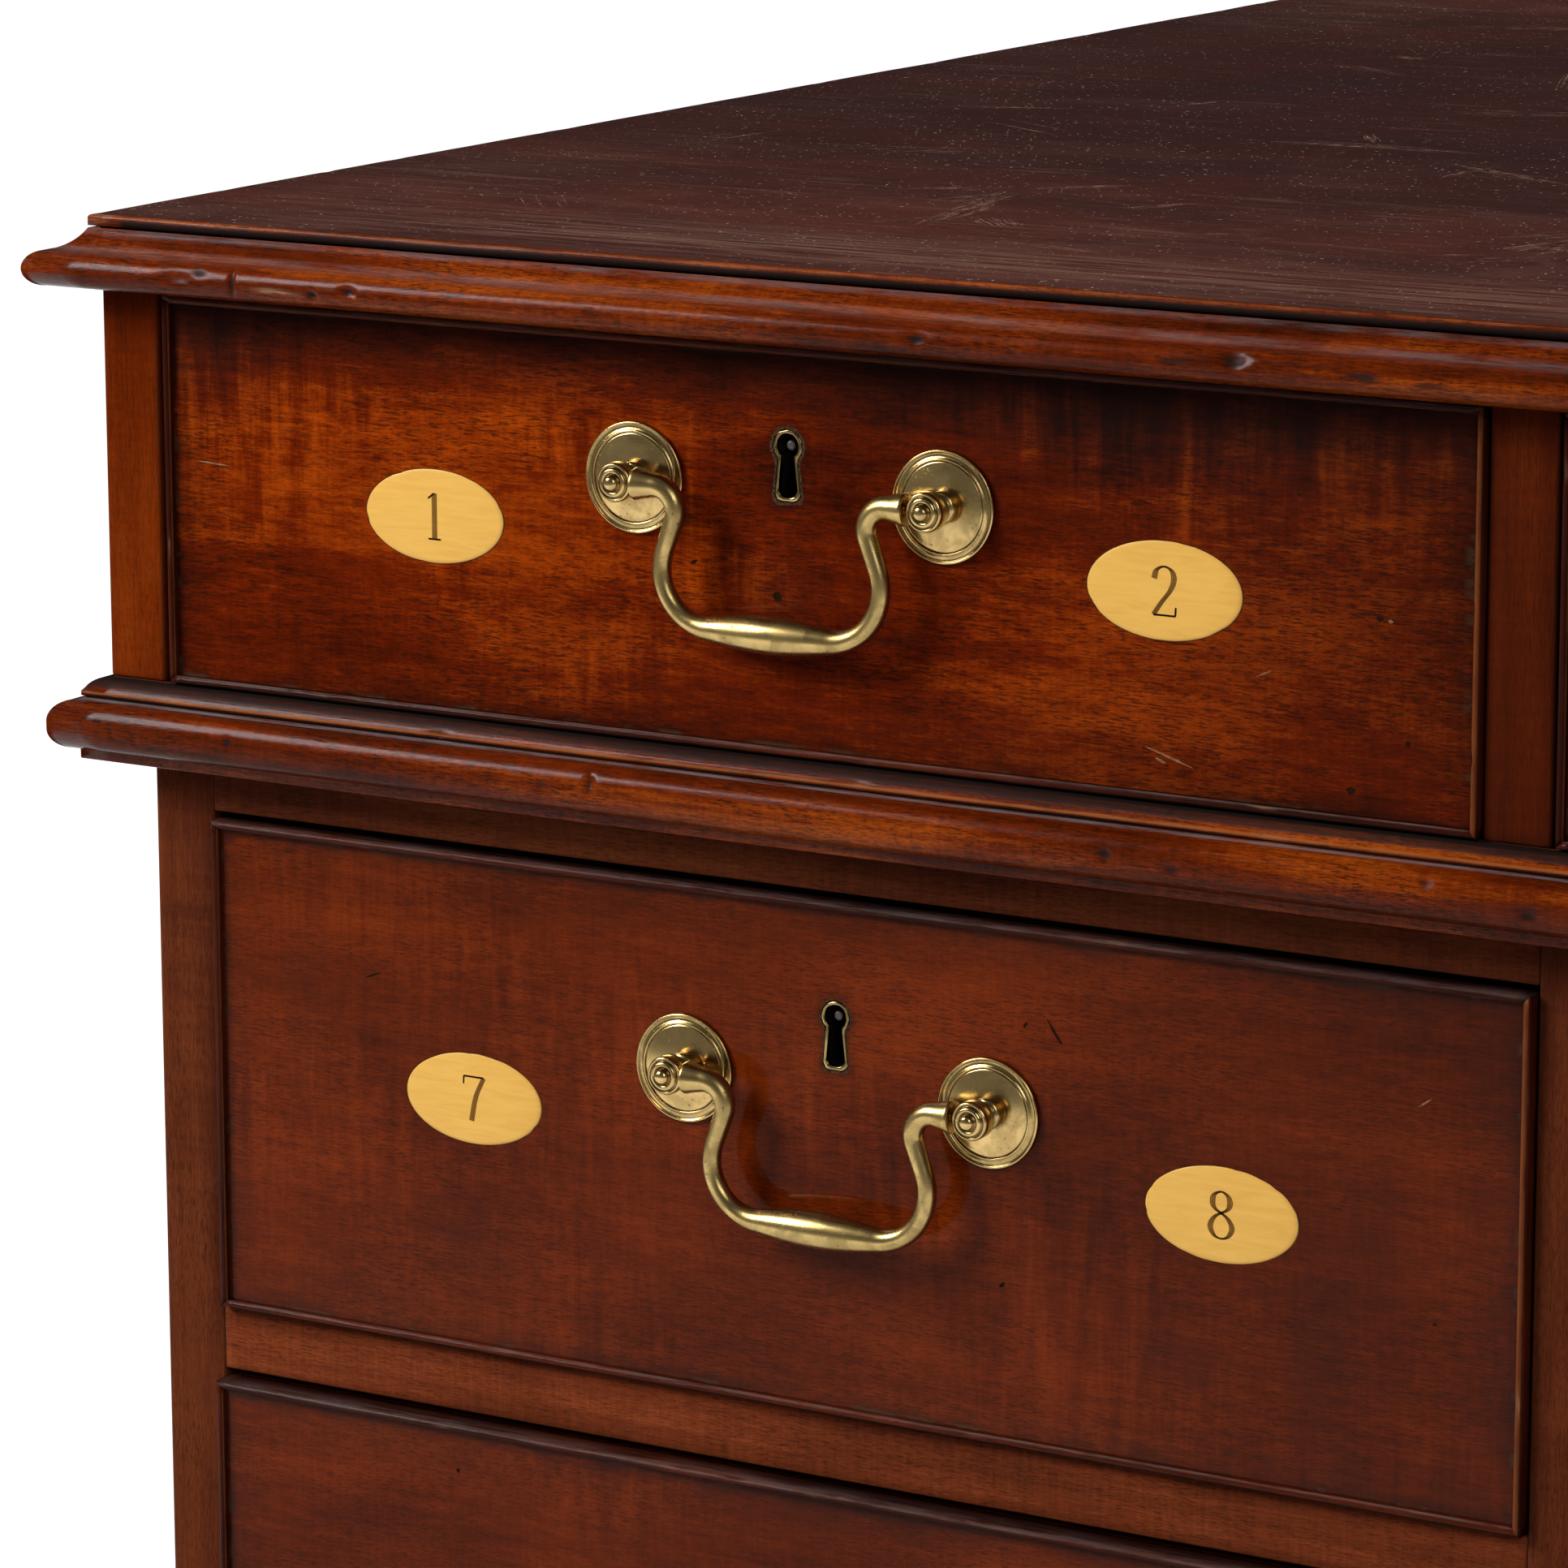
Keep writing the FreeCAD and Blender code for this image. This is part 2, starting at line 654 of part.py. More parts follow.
def make_top():
    """The top board with its thin rim, and the applied moulding below the rim."""
    rim_z = desk_height - d.rim_height
    rim_width, rim_depth = frieze_width + 2 * d.rim_reach, d.frieze_depth + 2 * d.rim_reach
    rim = board(centred(rim_width), centred(rim_depth), (rim_z, desk_height))
    slab = board(centred(frieze_width), centred(d.frieze_depth), (frieze_top_z, rim_z))
    node("top_board", [fuse(rim, slab)])
    height = d.top_thickness - d.rim_height - d.shrinkage_gap
    nose_start = d.edge_reach - d.edge_nose
    profile = [(0, 0), (-nose_start, 0), (-d.edge_reach, d.edge_nose, d.edge_nose, -1)]
    profile += [(-nose_start, 2 * d.edge_nose, d.edge_nose, -1)]
    profile += [(-d.rim_reach, height, d.edge_hollow, 1), (0, height)]
    lengths = moulding_round(profile, d.edge_reach, frieze_width, d.frieze_depth, frieze_top_z)
    node("top_edge_moulding", lengths)


# Frieze

def make_frieze():
    """Ends, partitions, spine, base frame, dust boards and drawer stops of the frieze."""
    half_w, half_d = frieze_width / 2, d.frieze_depth / 2
    bay_z = (frieze_z, frieze_top_z)
    base_z = (pedestal_top_z, frieze_z)
    panel_z = (frieze_z - d.dust_board, frieze_z)
    half_centre = d.centre_bay / 2
    partition_far = half_centre + d.frieze_partition
    rail_in_x, rail_in_y = half_w - d.base_rail, half_d - d.base_rail
    cross_near, cross_far = partition_far - d.base_rail / 2, partition_far + d.base_rail / 2
    pieces = [board((-(half_w - d.frieze_end), half_w - d.frieze_end), centred(d.frieze_spine), bay_z)]
    for side in (LEFT, RIGHT):
        pieces.append(board(mirrored(side, half_w - d.frieze_end, half_w), centred(d.frieze_depth), bay_z))
        pieces.append(board(centred(frieze_width), mirrored(side, rail_in_y, half_d), base_z))
        pieces.append(board(mirrored(side, rail_in_x, half_w), (-rail_in_y, rail_in_y), base_z))
        pieces.append(board(mirrored(side, cross_near, cross_far), (-rail_in_y, rail_in_y), base_z))
        pieces.append(board(mirrored(side, cross_far, rail_in_x), (-rail_in_y, rail_in_y), panel_z))
        for row in (LEFT, RIGHT):
            half_depth = mirrored(row, d.frieze_spine / 2, half_d)
            pieces.append(board(mirrored(side, half_centre, partition_far), half_depth, bay_z))
    pieces.append(board((-cross_near, cross_near), (-rail_in_y, rail_in_y), panel_z))
    for inwards in (1, -1):
        for x, kind_name in ((-side_bay_x, "side"), (Size(0), "centre"), (side_bay_x, "side")):
            pieces += stops(KINDS[kind_name], x, -inwards * half_d, frieze_z, inwards)
    node("frieze_carcase", pieces)


def make_waist():
    """The moulding between the frieze and the pedestals: lip, round nose, quirk, strip and ovolo."""
    nose_start = d.waist_nose_reach - d.waist_nose
    nose_top = d.lip_height + d.waist_nose_height
    strip_low = nose_top + d.quirk_height
    quirk = d.strip_reach - d.quirk_depth
    lip = [(0, 0), (-d.lip_reach, 0), (-d.lip_reach, d.lip_height), (-nose_start, d.lip_height)]
    nose = [(-d.waist_nose_reach, d.lip_height + d.waist_nose, d.waist_nose, -1)]
    nose += [(-d.waist_nose_reach, nose_top - d.waist_nose), (-nose_start, nose_top, d.waist_nose, -1)]
    strip = [(-quirk, nose_top), (-quirk, strip_low), (-d.strip_reach, strip_low)]
    strip += [(-d.strip_reach, d.waist_height - d.ovolo_height)]
    ovolo = [(-d.ovolo_start, d.waist_height, d.ovolo_radius, -1), (0, d.waist_height)]
    profile = lip + nose + strip + ovolo
    lengths = moulding_round(profile, d.waist_nose_reach, frieze_width, d.frieze_depth, pedestal_top_z)
    node("waist_moulding", lengths)


# Pedestals

def make_pedestal(name, side):
    """Sides, top, bottom, divider, rails, dust boards and drawer stops of one pedestal."""
    half_w, half_d, half_bay = pedestal_width / 2, pedestal_depth / 2, d.pedestal_bay / 2
    bay = (-half_bay, half_bay)
    depth = (-half_d, half_d)
    side_z = (d.pedestal_foot_gap, pedestal_top_z)
    pieces = [board(mirrored(edge, half_bay, half_w), depth, side_z) for edge in (LEFT, RIGHT)]
    pieces.append(board(bay, depth, (bays_top_z, pedestal_top_z)))
    pieces.append(board(bay, depth, (lower_z - d.pedestal_bottom, lower_z)))
    pieces.append(board(bay, centred(d.pedestal_divider), (lower_z, bays_top_z)))
    rail_back = d.rail_depth - half_d
    for z in (middle_z, upper_z):
        pieces.append(board(bay, (-half_d, rail_back), (z - d.rail_height, z)))
        pieces.append(board(bay, (rail_back, -(d.pedestal_divider / 2)), (z - d.dust_board, z)))
    for kind_name, z in (("lower", lower_z), ("middle", middle_z), ("upper", upper_z)):
        pieces += stops(KINDS[kind_name], Size(0), -half_d, z, 1)
    node(f"{name}_pedestal_carcase", pieces, side * pedestal_x)


def make_plinths():
    """A moulded plinth round the foot of each pedestal."""
    cap_z = d.plinth_height - d.plinth_cap
    fillet_z = d.plinth_height - d.plinth_fillet
    profile = [(0, 0), (-d.plinth_reach, 0), (-d.plinth_reach, cap_z)]
    profile += [(-(d.plinth_reach - d.plinth_step), cap_z), (-d.plinth_step, fillet_z, d.plinth_hollow, 1)]
    profile += [(-d.plinth_step, d.plinth_height), (0, d.plinth_height)]
    pieces = []
    for side in (LEFT, RIGHT):
        x = side * pedestal_x
        pieces += moulding_round(profile, d.plinth_reach, pedestal_width, pedestal_depth, 0, x)
    node("plinths", pieces)


# Cupboard doors

hinge_x = d.pedestal_bay / 2 - d.hinge_gap / 2
hinge_y = pedestal_depth / 2 + d.hinge_axis_out
leaf = (d.hinge_gap - d.hinge_leaf_gap) / 2
HINGE_LOWS = (lower_z + d.hinge_from_end, bays_top_z - d.hinge_from_end - d.hinge_length)


def make_door(name, side, keyhole_cutter, escutcheon, lock):
    """A framed and panelled door, hinged at the outer side, with its thread, lock and moving hinge leaves."""
    outside = pedestal_depth / 2
    thick = (outside - d.door_thickness, outside)
    hinge_edge, free_edge = d.pedestal_bay / 2 - d.hinge_gap, d.door_gap - d.pedestal_bay / 2
    low, top = lower_z + d.door_gap, bays_top_z - d.door_gap
    panel_x = mirrored(side, free_edge + d.door_stile, hinge_edge - d.door_stile)
    panel_z = (low + d.door_bottom_rail, top - d.door_top_rail)
    panel_y = outside - d.door_panel_inset
    lock_x = side * (free_edge + d.door_stile / 2)
    lock_z = lower_z + d.door_keyhole_height
    lock_stile = board(mirrored(side, free_edge, free_edge + d.door_stile), thick, (low, top))
    node(f"{name}_door", [
        cut(lock_stile, copy_of(keyhole_cutter, lock_x, outside, lock_z, TURN_BACK)),
        board(mirrored(side, hinge_edge - d.door_stile, hinge_edge), thick, (low, top)),
        board(panel_x, thick, (low, low + d.door_bottom_rail)),
        board(panel_x, thick, (top - d.door_top_rail, top)),
        board(panel_x, (panel_y - d.door_panel, panel_y), panel_z)], side * pedestal_x)
    fittings = [copy_of(piece, lock_x, outside, lock_z, TURN_BACK) for piece in (escutcheon, lock)]
    fittings += [moving_hinge_half(side, z) for z in HINGE_LOWS]
    node(f"{name}_door_fittings", fittings, side * pedestal_x)


def hinge_plate(side, near, far, high):
    """A flat leaf that lies in the gap beside the door."""
    outside = pedestal_depth / 2
    deep = (outside - d.door_thickness, outside + d.hinge_leaf_out)
    return board(mirrored(side, hinge_x + near, hinge_x + far), deep, high)


def hinge_strap(side, near, far, high):
    """The tongue that joins a leaf to its knuckle."""
    deep = (pedestal_depth / 2 - d.hinge_leaf_out, hinge_y)
    return board(mirrored(side, hinge_x + near, hinge_x + far), deep, high)


def moving_hinge_half(side, low):
    """A door's leaf with the middle knuckle."""
    middle = (low + d.hinge_length / 3 + d.knuckle_gap, low + 2 * d.hinge_length / 3 - d.knuckle_gap)
    near, far = -(d.hinge_leaf_gap / 2 + leaf), -(d.hinge_leaf_gap / 2)
    knuckle = rod(d.knuckle_radius, middle[1] - middle[0], side * hinge_x, hinge_y, middle[0])
    bore = rod(d.hinge_pin_radius + d.hinge_pin_gap, d.hinge_length, side * hinge_x, hinge_y, low)
    plate = hinge_plate(side, near, far, (low, low + d.hinge_length))
    return cut(fuse(plate, hinge_strap(side, near, far, middle), knuckle), bore)


def fixed_hinge_half(side, low):
    """A carcase leaf with two knuckles and the pin."""
    third = d.hinge_length / 3
    near, far = d.hinge_leaf_gap / 2, d.hinge_leaf_gap / 2 + leaf
    pieces = [hinge_plate(side, near, far, (low, low + d.hinge_length))]
    for start in (low, low + 2 * third):
        pieces.append(hinge_strap(side, near, far, (start, start + third)))
        pieces.append(rod(d.knuckle_radius, third, side * hinge_x, hinge_y, start))
    pieces.append(rod(d.hinge_pin_radius, d.hinge_length, side * hinge_x, hinge_y, low))
    return fuse(*pieces)


def make_doors():
    """Both cupboard doors and the hinge halves that stay on the carcase."""
    keyhole_cutter, escutcheon, lock = make_keyhole_cutter(), make_escutcheon(), make_lock(d.door_thickness)
    fixed = []
    for name, side in (("left", LEFT), ("right", RIGHT)):
        make_door(name, side, keyhole_cutter, escutcheon, lock)
        fixed += [copy_of(fixed_hinge_half(side, z), side * pedestal_x, 0, 0) for z in HINGE_LOWS]
    node("door_hinge_leaves", fixed)


def check_document():
    """Stop if any object failed or any sub-part is empty or not a sound solid."""
    for item in doc.Objects:
        if {"Invalid", "Error"} & set(item.State):
            raise RuntimeError(f"{item.Name} failed: {item.State}")
    for group in nodes:
        if group.Shape.isNull() or not group.Shape.isValid() or not group.Shape.Solids:
            raise RuntimeError(f"{group.Label} is not a sound shape")


def write_parts():
    """Write each sub-part's solids to its own file."""
    os.makedirs(PARTS_FOLDER, exist_ok=True)
    for group in nodes:
        solids = group.Shape.Solids
        shape = solids[0] if len(solids) == 1 else Part.makeCompound(solids)
        shape.exportStep(f"{PARTS_FOLDER}/{group.Label}.step")


make_top()
make_frieze()
make_waist()
for pedestal_name, pedestal_side in (("left", LEFT), ("right", RIGHT)):
    make_pedestal(pedestal_name, pedestal_side)
make_plinths()
make_doors()
make_drawers()
doc.recompute()
check_document()
write_parts()
solid_count = sum(len(group.Shape.Solids) for group in nodes)
print(f"{len(nodes)} sub-parts, {solid_count} solids, height {value(desk_height):.1f} mm")
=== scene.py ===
"""Looks of an old mahogany partners desk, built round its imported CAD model.

Mesh code works in millimetres, in the frame of the CAD model, and turns to metres when a piece is finished.
"""
import json
import logging
import math
import random
from dataclasses import dataclass, field
from enum import Enum
from functools import cache
from itertools import product
from typing import Callable, Optional, Sequence

import bmesh
import bpy
import numpy as np
from mathutils import Matrix, Vector, noise


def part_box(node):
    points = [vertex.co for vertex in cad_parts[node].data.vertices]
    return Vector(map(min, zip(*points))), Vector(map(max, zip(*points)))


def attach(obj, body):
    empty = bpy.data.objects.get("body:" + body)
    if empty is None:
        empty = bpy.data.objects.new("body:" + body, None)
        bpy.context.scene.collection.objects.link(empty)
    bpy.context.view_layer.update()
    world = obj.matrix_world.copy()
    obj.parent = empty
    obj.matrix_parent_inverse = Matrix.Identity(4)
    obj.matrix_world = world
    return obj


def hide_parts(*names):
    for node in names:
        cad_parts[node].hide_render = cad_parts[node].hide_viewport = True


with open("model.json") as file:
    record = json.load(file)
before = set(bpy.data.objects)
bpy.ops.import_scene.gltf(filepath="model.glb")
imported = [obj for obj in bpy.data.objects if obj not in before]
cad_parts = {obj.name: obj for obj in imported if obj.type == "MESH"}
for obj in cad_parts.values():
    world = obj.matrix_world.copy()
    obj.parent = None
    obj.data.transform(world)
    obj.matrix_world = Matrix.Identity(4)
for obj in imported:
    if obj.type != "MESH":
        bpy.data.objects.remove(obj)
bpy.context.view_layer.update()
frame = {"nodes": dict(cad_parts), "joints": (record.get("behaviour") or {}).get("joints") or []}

MM = 0.001
TINY = 1e-9
IMAGE_SIZE = 1932
NOISE_SEED = 7
LOG = logging.getLogger("partners_desk")

Point = tuple[float, float, float]
Pair = tuple[float, float]
Colour = tuple[float, float, float]
Mesh = bpy.types.Mesh
Material = bpy.types.Material
Socket = bpy.types.NodeSocket
ZERO: Point = (0.0, 0.0, 0.0)


class Axis(Enum):
    """The way a board's grain runs."""

    X = 0
    Y = 1
    Z = 2


class Row(Enum):
    """Where a drawer sits in the desk."""

    FRIEZE = "frieze"
    PEDESTAL = "pedestal"


class Arris(Enum):
    """What age did along the edges of a wooden surface."""

    RUBBED = "rubbed pale"
    # Dark with old polish; on the frieze fronts also painted shade under the top and towards the right
    GRIMY = "dark with old polish"


# Node layout


class NodeTable:
    """A short way to lay out the nodes of any tree."""

    def __init__(self, tree: bpy.types.NodeTree) -> None:
        """Start on a tree, cleared of what it held."""
        self.tree = tree
        self.tree.nodes.clear()

    def feed(self, socket: Socket, value: object) -> None:
        """Link a socket, or set its value.

        Args:
            socket: input that receives the value.
            value: another node's output, a number, or a colour or vector.
        """
        if isinstance(value, Socket):
            self.tree.links.new(value, socket)
        elif isinstance(value, (tuple, list)) and socket.type == "RGBA" and len(value) == 3:
            socket.default_value = (*value, 1)
        else:
            socket.default_value = value

    def node(self, kind: str, inputs: dict[object, object], **settings: object) -> bpy.types.Node:
        """Add a node.

        Args:
            kind: the node's Blender type name.
            inputs: values or links by input name or number.
            settings: properties of the node itself.

        Returns:
            The new node.
        """
        made = self.tree.nodes.new(kind)
        for key, value in settings.items():
            setattr(made, key, value)
        for key, value in inputs.items():
            self.feed(made.inputs[key], value)
        return made

    def math(self, operation: str, first: object, second: object = 0.0, clamp: bool = False) -> Socket:
        """One step on numbers, by the name that Blender gives it."""
        return self.node("ShaderNodeMath", {0: first, 1: second}, operation=operation, use_clamp=clamp).outputs[0]

    def times(self, first: object, second: object, clamp: bool = False) -> Socket:
        """The product of two numbers."""
        return self.math("MULTIPLY", first, second, clamp)

    def plus(self, first: object, second: object, clamp: bool = False) -> Socket:
        """The sum of two numbers."""
        return self.math("ADD", first, second, clamp)


class NodeBench(NodeTable):
    """The shader nodes of one material."""

    def __init__(self, name: str, grained: bool = False) -> None:
        """Start an empty material with an output and a principled shader.

        Args:
            name: name of the material.
            grained: whether its noises follow the grain attribute, and not the object's coordinates.
        """
        self.material = bpy.data.materials.new(name)
        self.material.use_nodes = True
        super().__init__(self.material.node_tree)
        self.shader = self.node("ShaderNodeBsdfPrincipled", {})
        self.node("ShaderNodeOutputMaterial", {"Surface": self.shader.outputs[0]})
        self.vector = self.attribute("grain", "Vector") if grained else self.place()
        self.colour: Optional[Socket] = None

    def set(self, **sockets: object) -> None:
        """Set or link inputs of the principled shader; underscores stand for spaces."""
        for key, value in sockets.items():
            self.feed(self.shader.inputs[key.replace("_", " ")], value)

    def attribute(self, name: str, output: str = "Fac") -> Socket:
        """A mesh attribute as a number or a vector."""
        return self.node("ShaderNodeAttribute", {}, attribute_name=name).outputs[output]

    def place(self) -> Socket:
        """Object coordinates, in metres."""
        return self.node("ShaderNodeTexCoord", {}).outputs["Object"]

    def noise(self, stretch: Point, detail: float = 3.0, roughness: float = 0.55,
              distortion: float = 0.0, turn: Point = ZERO, shift: Point = ZERO) -> Socket:
        """Smooth noise between 0 and 1 on stretched, turned and shifted coordinates.

        Args:
            stretch: scale along each axis.
            detail: number of finer layers.
            roughness: weight of the finer layers.
            distortion: amount of swirl.
            turn: angles of the pattern.
            shift: offset of the pattern.

        Returns:
            The noise.
        """
        place = {"Vector": self.vector, "Scale": stretch, "Rotation": turn, "Location": shift}
        inputs = {"Vector": self.node("ShaderNodeMapping", place).outputs["Vector"], "Scale": 1, "Detail": detail,
                  "Roughness": roughness, "Distortion": distortion}
        return self.node("ShaderNodeTexNoise", inputs).outputs["Fac"]

    def band(self, value: Socket, start: float, end: float, low: float = 0.0, high: float = 1.0) -> Socket:
        """A soft step of a value from low to high between start and end."""
        inputs = {"Value": value, "From Min": start, "From Max": end, "To Min": low, "To Max": high}
        return self.node("ShaderNodeMapRange", inputs, interpolation_type="SMOOTHSTEP").outputs[0]

    def blend(self, factor: object, first: object, second: object) -> Socket:
        """Mix two colours."""
        return self.node("ShaderNodeMix", {0: factor, 6: first, 7: second}, data_type="RGBA").outputs[2]

    def cover(self, mask: object, colour: Colour) -> None:
        """Lay a colour over the colour so far, where the mask says so."""
        self.colour = self.blend(mask, self.colour, colour)

    def ramp(self, value: Socket, stops: Sequence[tuple[float, Colour]]) -> Socket:
        """A colour for each value between the stops.

        Args:
            value: number between 0 and 1.
            stops: (value, colour) pairs.

        Returns:
            The colour.
        """
        made = self.node("ShaderNodeValToRGB", {0: value})
        elements = made.color_ramp.elements
        while len(elements) < len(stops):
            elements.new(0.5)
        for element, (position, colour) in zip(elements, stops):
            element.position = position
            element.color = (*colour, 1)
        return made.outputs[0]

    def bump(self, height: Socket, strength: float, distance: float) -> Socket:
        """A surface normal from a height, with its distance in metres."""
        inputs = {"Height": height, "Strength": strength, "Distance": distance}
        return self.node("ShaderNodeBump", inputs).outputs["Normal"]


# Finishes


@dataclass(frozen=True)
class WoodFinish:
    """Polished mahogany that follows the grain attribute of a board."""

    name: str
    dark: Colour
    middle: Colour
    light: Colour
    arris: Arris = Arris.RUBBED
    arris_colour: Colour = (0.19, 0.075, 0.03)
    arris_amount: float = 0.6
    cloud: float = 0.5
    streak: float = 0.5
    mottle: float = 0.0
    ray: float = 0.0
    pore: float = 0.7
    fibre: float = 0.40
    fleck: float = 0.0
    gloss: float = 0.32
    specular: float = 0.015
    polish: float = 0.0
    pore_colour: Colour = (0.016, 0.0050, 0.0020)
    dirt_colour: Colour = (0.085, 0.050, 0.026)
    # Grey of dust; on the top edge and waist mouldings it also draws painted highlight lines
    dust_colour: Colour = (0.17, 0.135, 0.125)
    chip_colour: Colour = (0.36, 0.19, 0.10)
    # Near black, for bruises in dents and for painted shade in gaps, recesses and dark clouds
    stain_colour: Colour = (0.010, 0.006, 0.005)

    def material(self) -> Material:
        """Lay out the grain, pores, wear, dust, painted shade, painted highlight lines and gloss of this finish.

        Returns:
            The finished material.
        """
        bench = NodeBench(self.name, True)
        clouds = bench.noise((7, 13, 13), 3, 0.55, 0.5)
        streaks = bench.noise((5, 105, 105), 5, 0.62, 0.35)
        fibres = bench.noise((70, 1200, 1200), 3, 0.6)
        flecks = bench.noise((90, 330, 330), 5, 0.7, 0.3, shift=(1, 4, 9))
        bars = bench.noise((150, 17, 17), 3, 0.6, 0.5)
        rays = bench.noise((640, 75, 75), 2, 0.5)
        pores = bench.noise((290, 2300, 2300), 2, 0.5)
        ticks = bench.noise((520, 3600, 3600), 2, 0.5, shift=(5, 1, 2))
        pore_zone = bench.noise((22, 40, 40), 2, 0.5)
        pore_mask = bench.times(bench.band(pores, 0.51, 0.63), bench.band(pore_zone, 0.32, 0.6, 0.45, 1))
        pore_mask = bench.math("MAXIMUM", pore_mask, bench.band(ticks, 0.52, 0.72, 0, 0.8))
        figure = ((clouds, self.cloud), (streaks, self.streak), (fibres, self.fibre), (rays, self.ray),
                  (flecks, self.fleck))
        tone = self.sum_of(bench, 0.5, figure)
        bar_field = bench.noise((8, 16, 16), 1, shift=(3, 7, 1))
        bar_zone = bench.times(bench.band(bar_field, 0.45, 0.63), self.mottle)
        bar_push = bench.times(bench.math("SUBTRACT", bars, 0.46), bar_zone)
        tone = bench.plus(tone, bar_push, clamp=True)
        bench.colour = bench.ramp(tone, ((0.14, self.dark), (0.5, self.middle), (0.86, self.light)))
        bench.cover(bench.times(pore_mask, self.pore), self.pore_colour)
        edge_age_and_shade = self.age_edges(bench)
        dust = self.lay_dust(bench)
        bruise_and_shade = self.mark_chips(bench)
        ripple = bench.noise((14, 30, 30), 2)
        height = bench.math("SUBTRACT", bench.times(ripple, 1.6), bench.times(pore_mask, 0.12))
        smear = bench.noise((20, 60, 60), 4)
        roughness = self.sum_of(bench, self.gloss, ((smear, 0.22),))
        roughness = bench.plus(roughness, bench.times(bench.math("MAXIMUM", dust, bruise_and_shade), 0.45))
        roughness = bench.plus(roughness, bench.times(edge_age_and_shade, 0.10), clamp=True)
        bench.set(Base_Color=bench.colour, Roughness=roughness, Normal=bench.bump(height, 0.35, 0.0004))
        bench.set(Specular_IOR_Level=self.specular, Coat_Weight=self.polish, Coat_Roughness=0.08)
        return bench.material

    @staticmethod
    def sum_of(bench: NodeBench, base: float, parts: Sequence[tuple[Socket, float]]) -> Socket:
        """A base value pushed up and down by several noises about their middle.

        Args:
            bench: the material's node bench.
            base: middle value.
            parts: (noise, amount) pairs.

        Returns:
            The sum.
        """
        total: object = base
        for value, amount in parts:
            push = bench.times(bench.math("SUBTRACT", value, 0.5), amount)
            total = bench.plus(total, push)
        return total

    def age_edges(self, bench: NodeBench) -> Socket:
        """Rub the arrises pale, or darken them with old polish and, on the frieze fronts, painted shade.

        Args:
            bench: the material's node bench.

        Returns:
            The mask of the aged and shaded places.
        """
        edge = bench.attribute("edge")
        patch = bench.noise((55, 140, 140), 5, 0.65)
        if self.arris is Arris.RUBBED:
            reach = bench.plus(edge, bench.times(bench.math("SUBTRACT", patch, 0.5), 0.9))
            mask = bench.times(bench.band(reach, 0.62, 1.08), self.arris_amount)
        else:
            mask = bench.times(bench.times(edge, bench.band(patch, 0.25, 0.7, 0.35, 1)), self.arris_amount)
        bench.cover(mask, self.arris_colour)
        if self.arris is Arris.GRIMY:
            line = bench.times(bench.band(edge, 0.86, 0.99), bench.band(patch, 0.52, 0.62, 0, 0.5))
            bench.cover(line, self.dirt_colour)
        return mask

    def lay_dust(self, bench: NodeBench) -> Socket:
        """Grey dust in hollows and on ledges, where the dust attribute says so; on the mouldings the same grey also
        draws painted highlight lines.

        Args:
            bench: the material's node bench.

        Returns:
            The mask of the dust and the painted highlight lines.
        """
        spread = bench.noise((45, 400, 400), 5, 0.7)
        dust = bench.times(bench.attribute("dust"), bench.band(spread, 0.3, 0.65))
        bench.cover(dust, self.dust_colour)
        return dust

    def mark_chips(self, bench: NodeBench) -> Socket:
        """Streaks of bare wood where the attribute is above zero; black where it is below, for bruises in dents and for
        painted shade in gaps, recesses and soft dark clouds.

        Args:
            bench: the material's node bench.

        Returns:
            The mask of the bruises and the painted shade.
        """
        chip = bench.attribute("chip")
        bruise_and_shade = bench.times(chip, -1, True)
        torn = bench.noise((70, 1000, 1000), 4, 0.7)
        bench.cover(bench.times(chip, bench.band(torn, 0.42, 0.60, 0.12, 1), True), self.chip_colour)
        bench.cover(bruise_and_shade, self.stain_colour)
        return bruise_and_shade


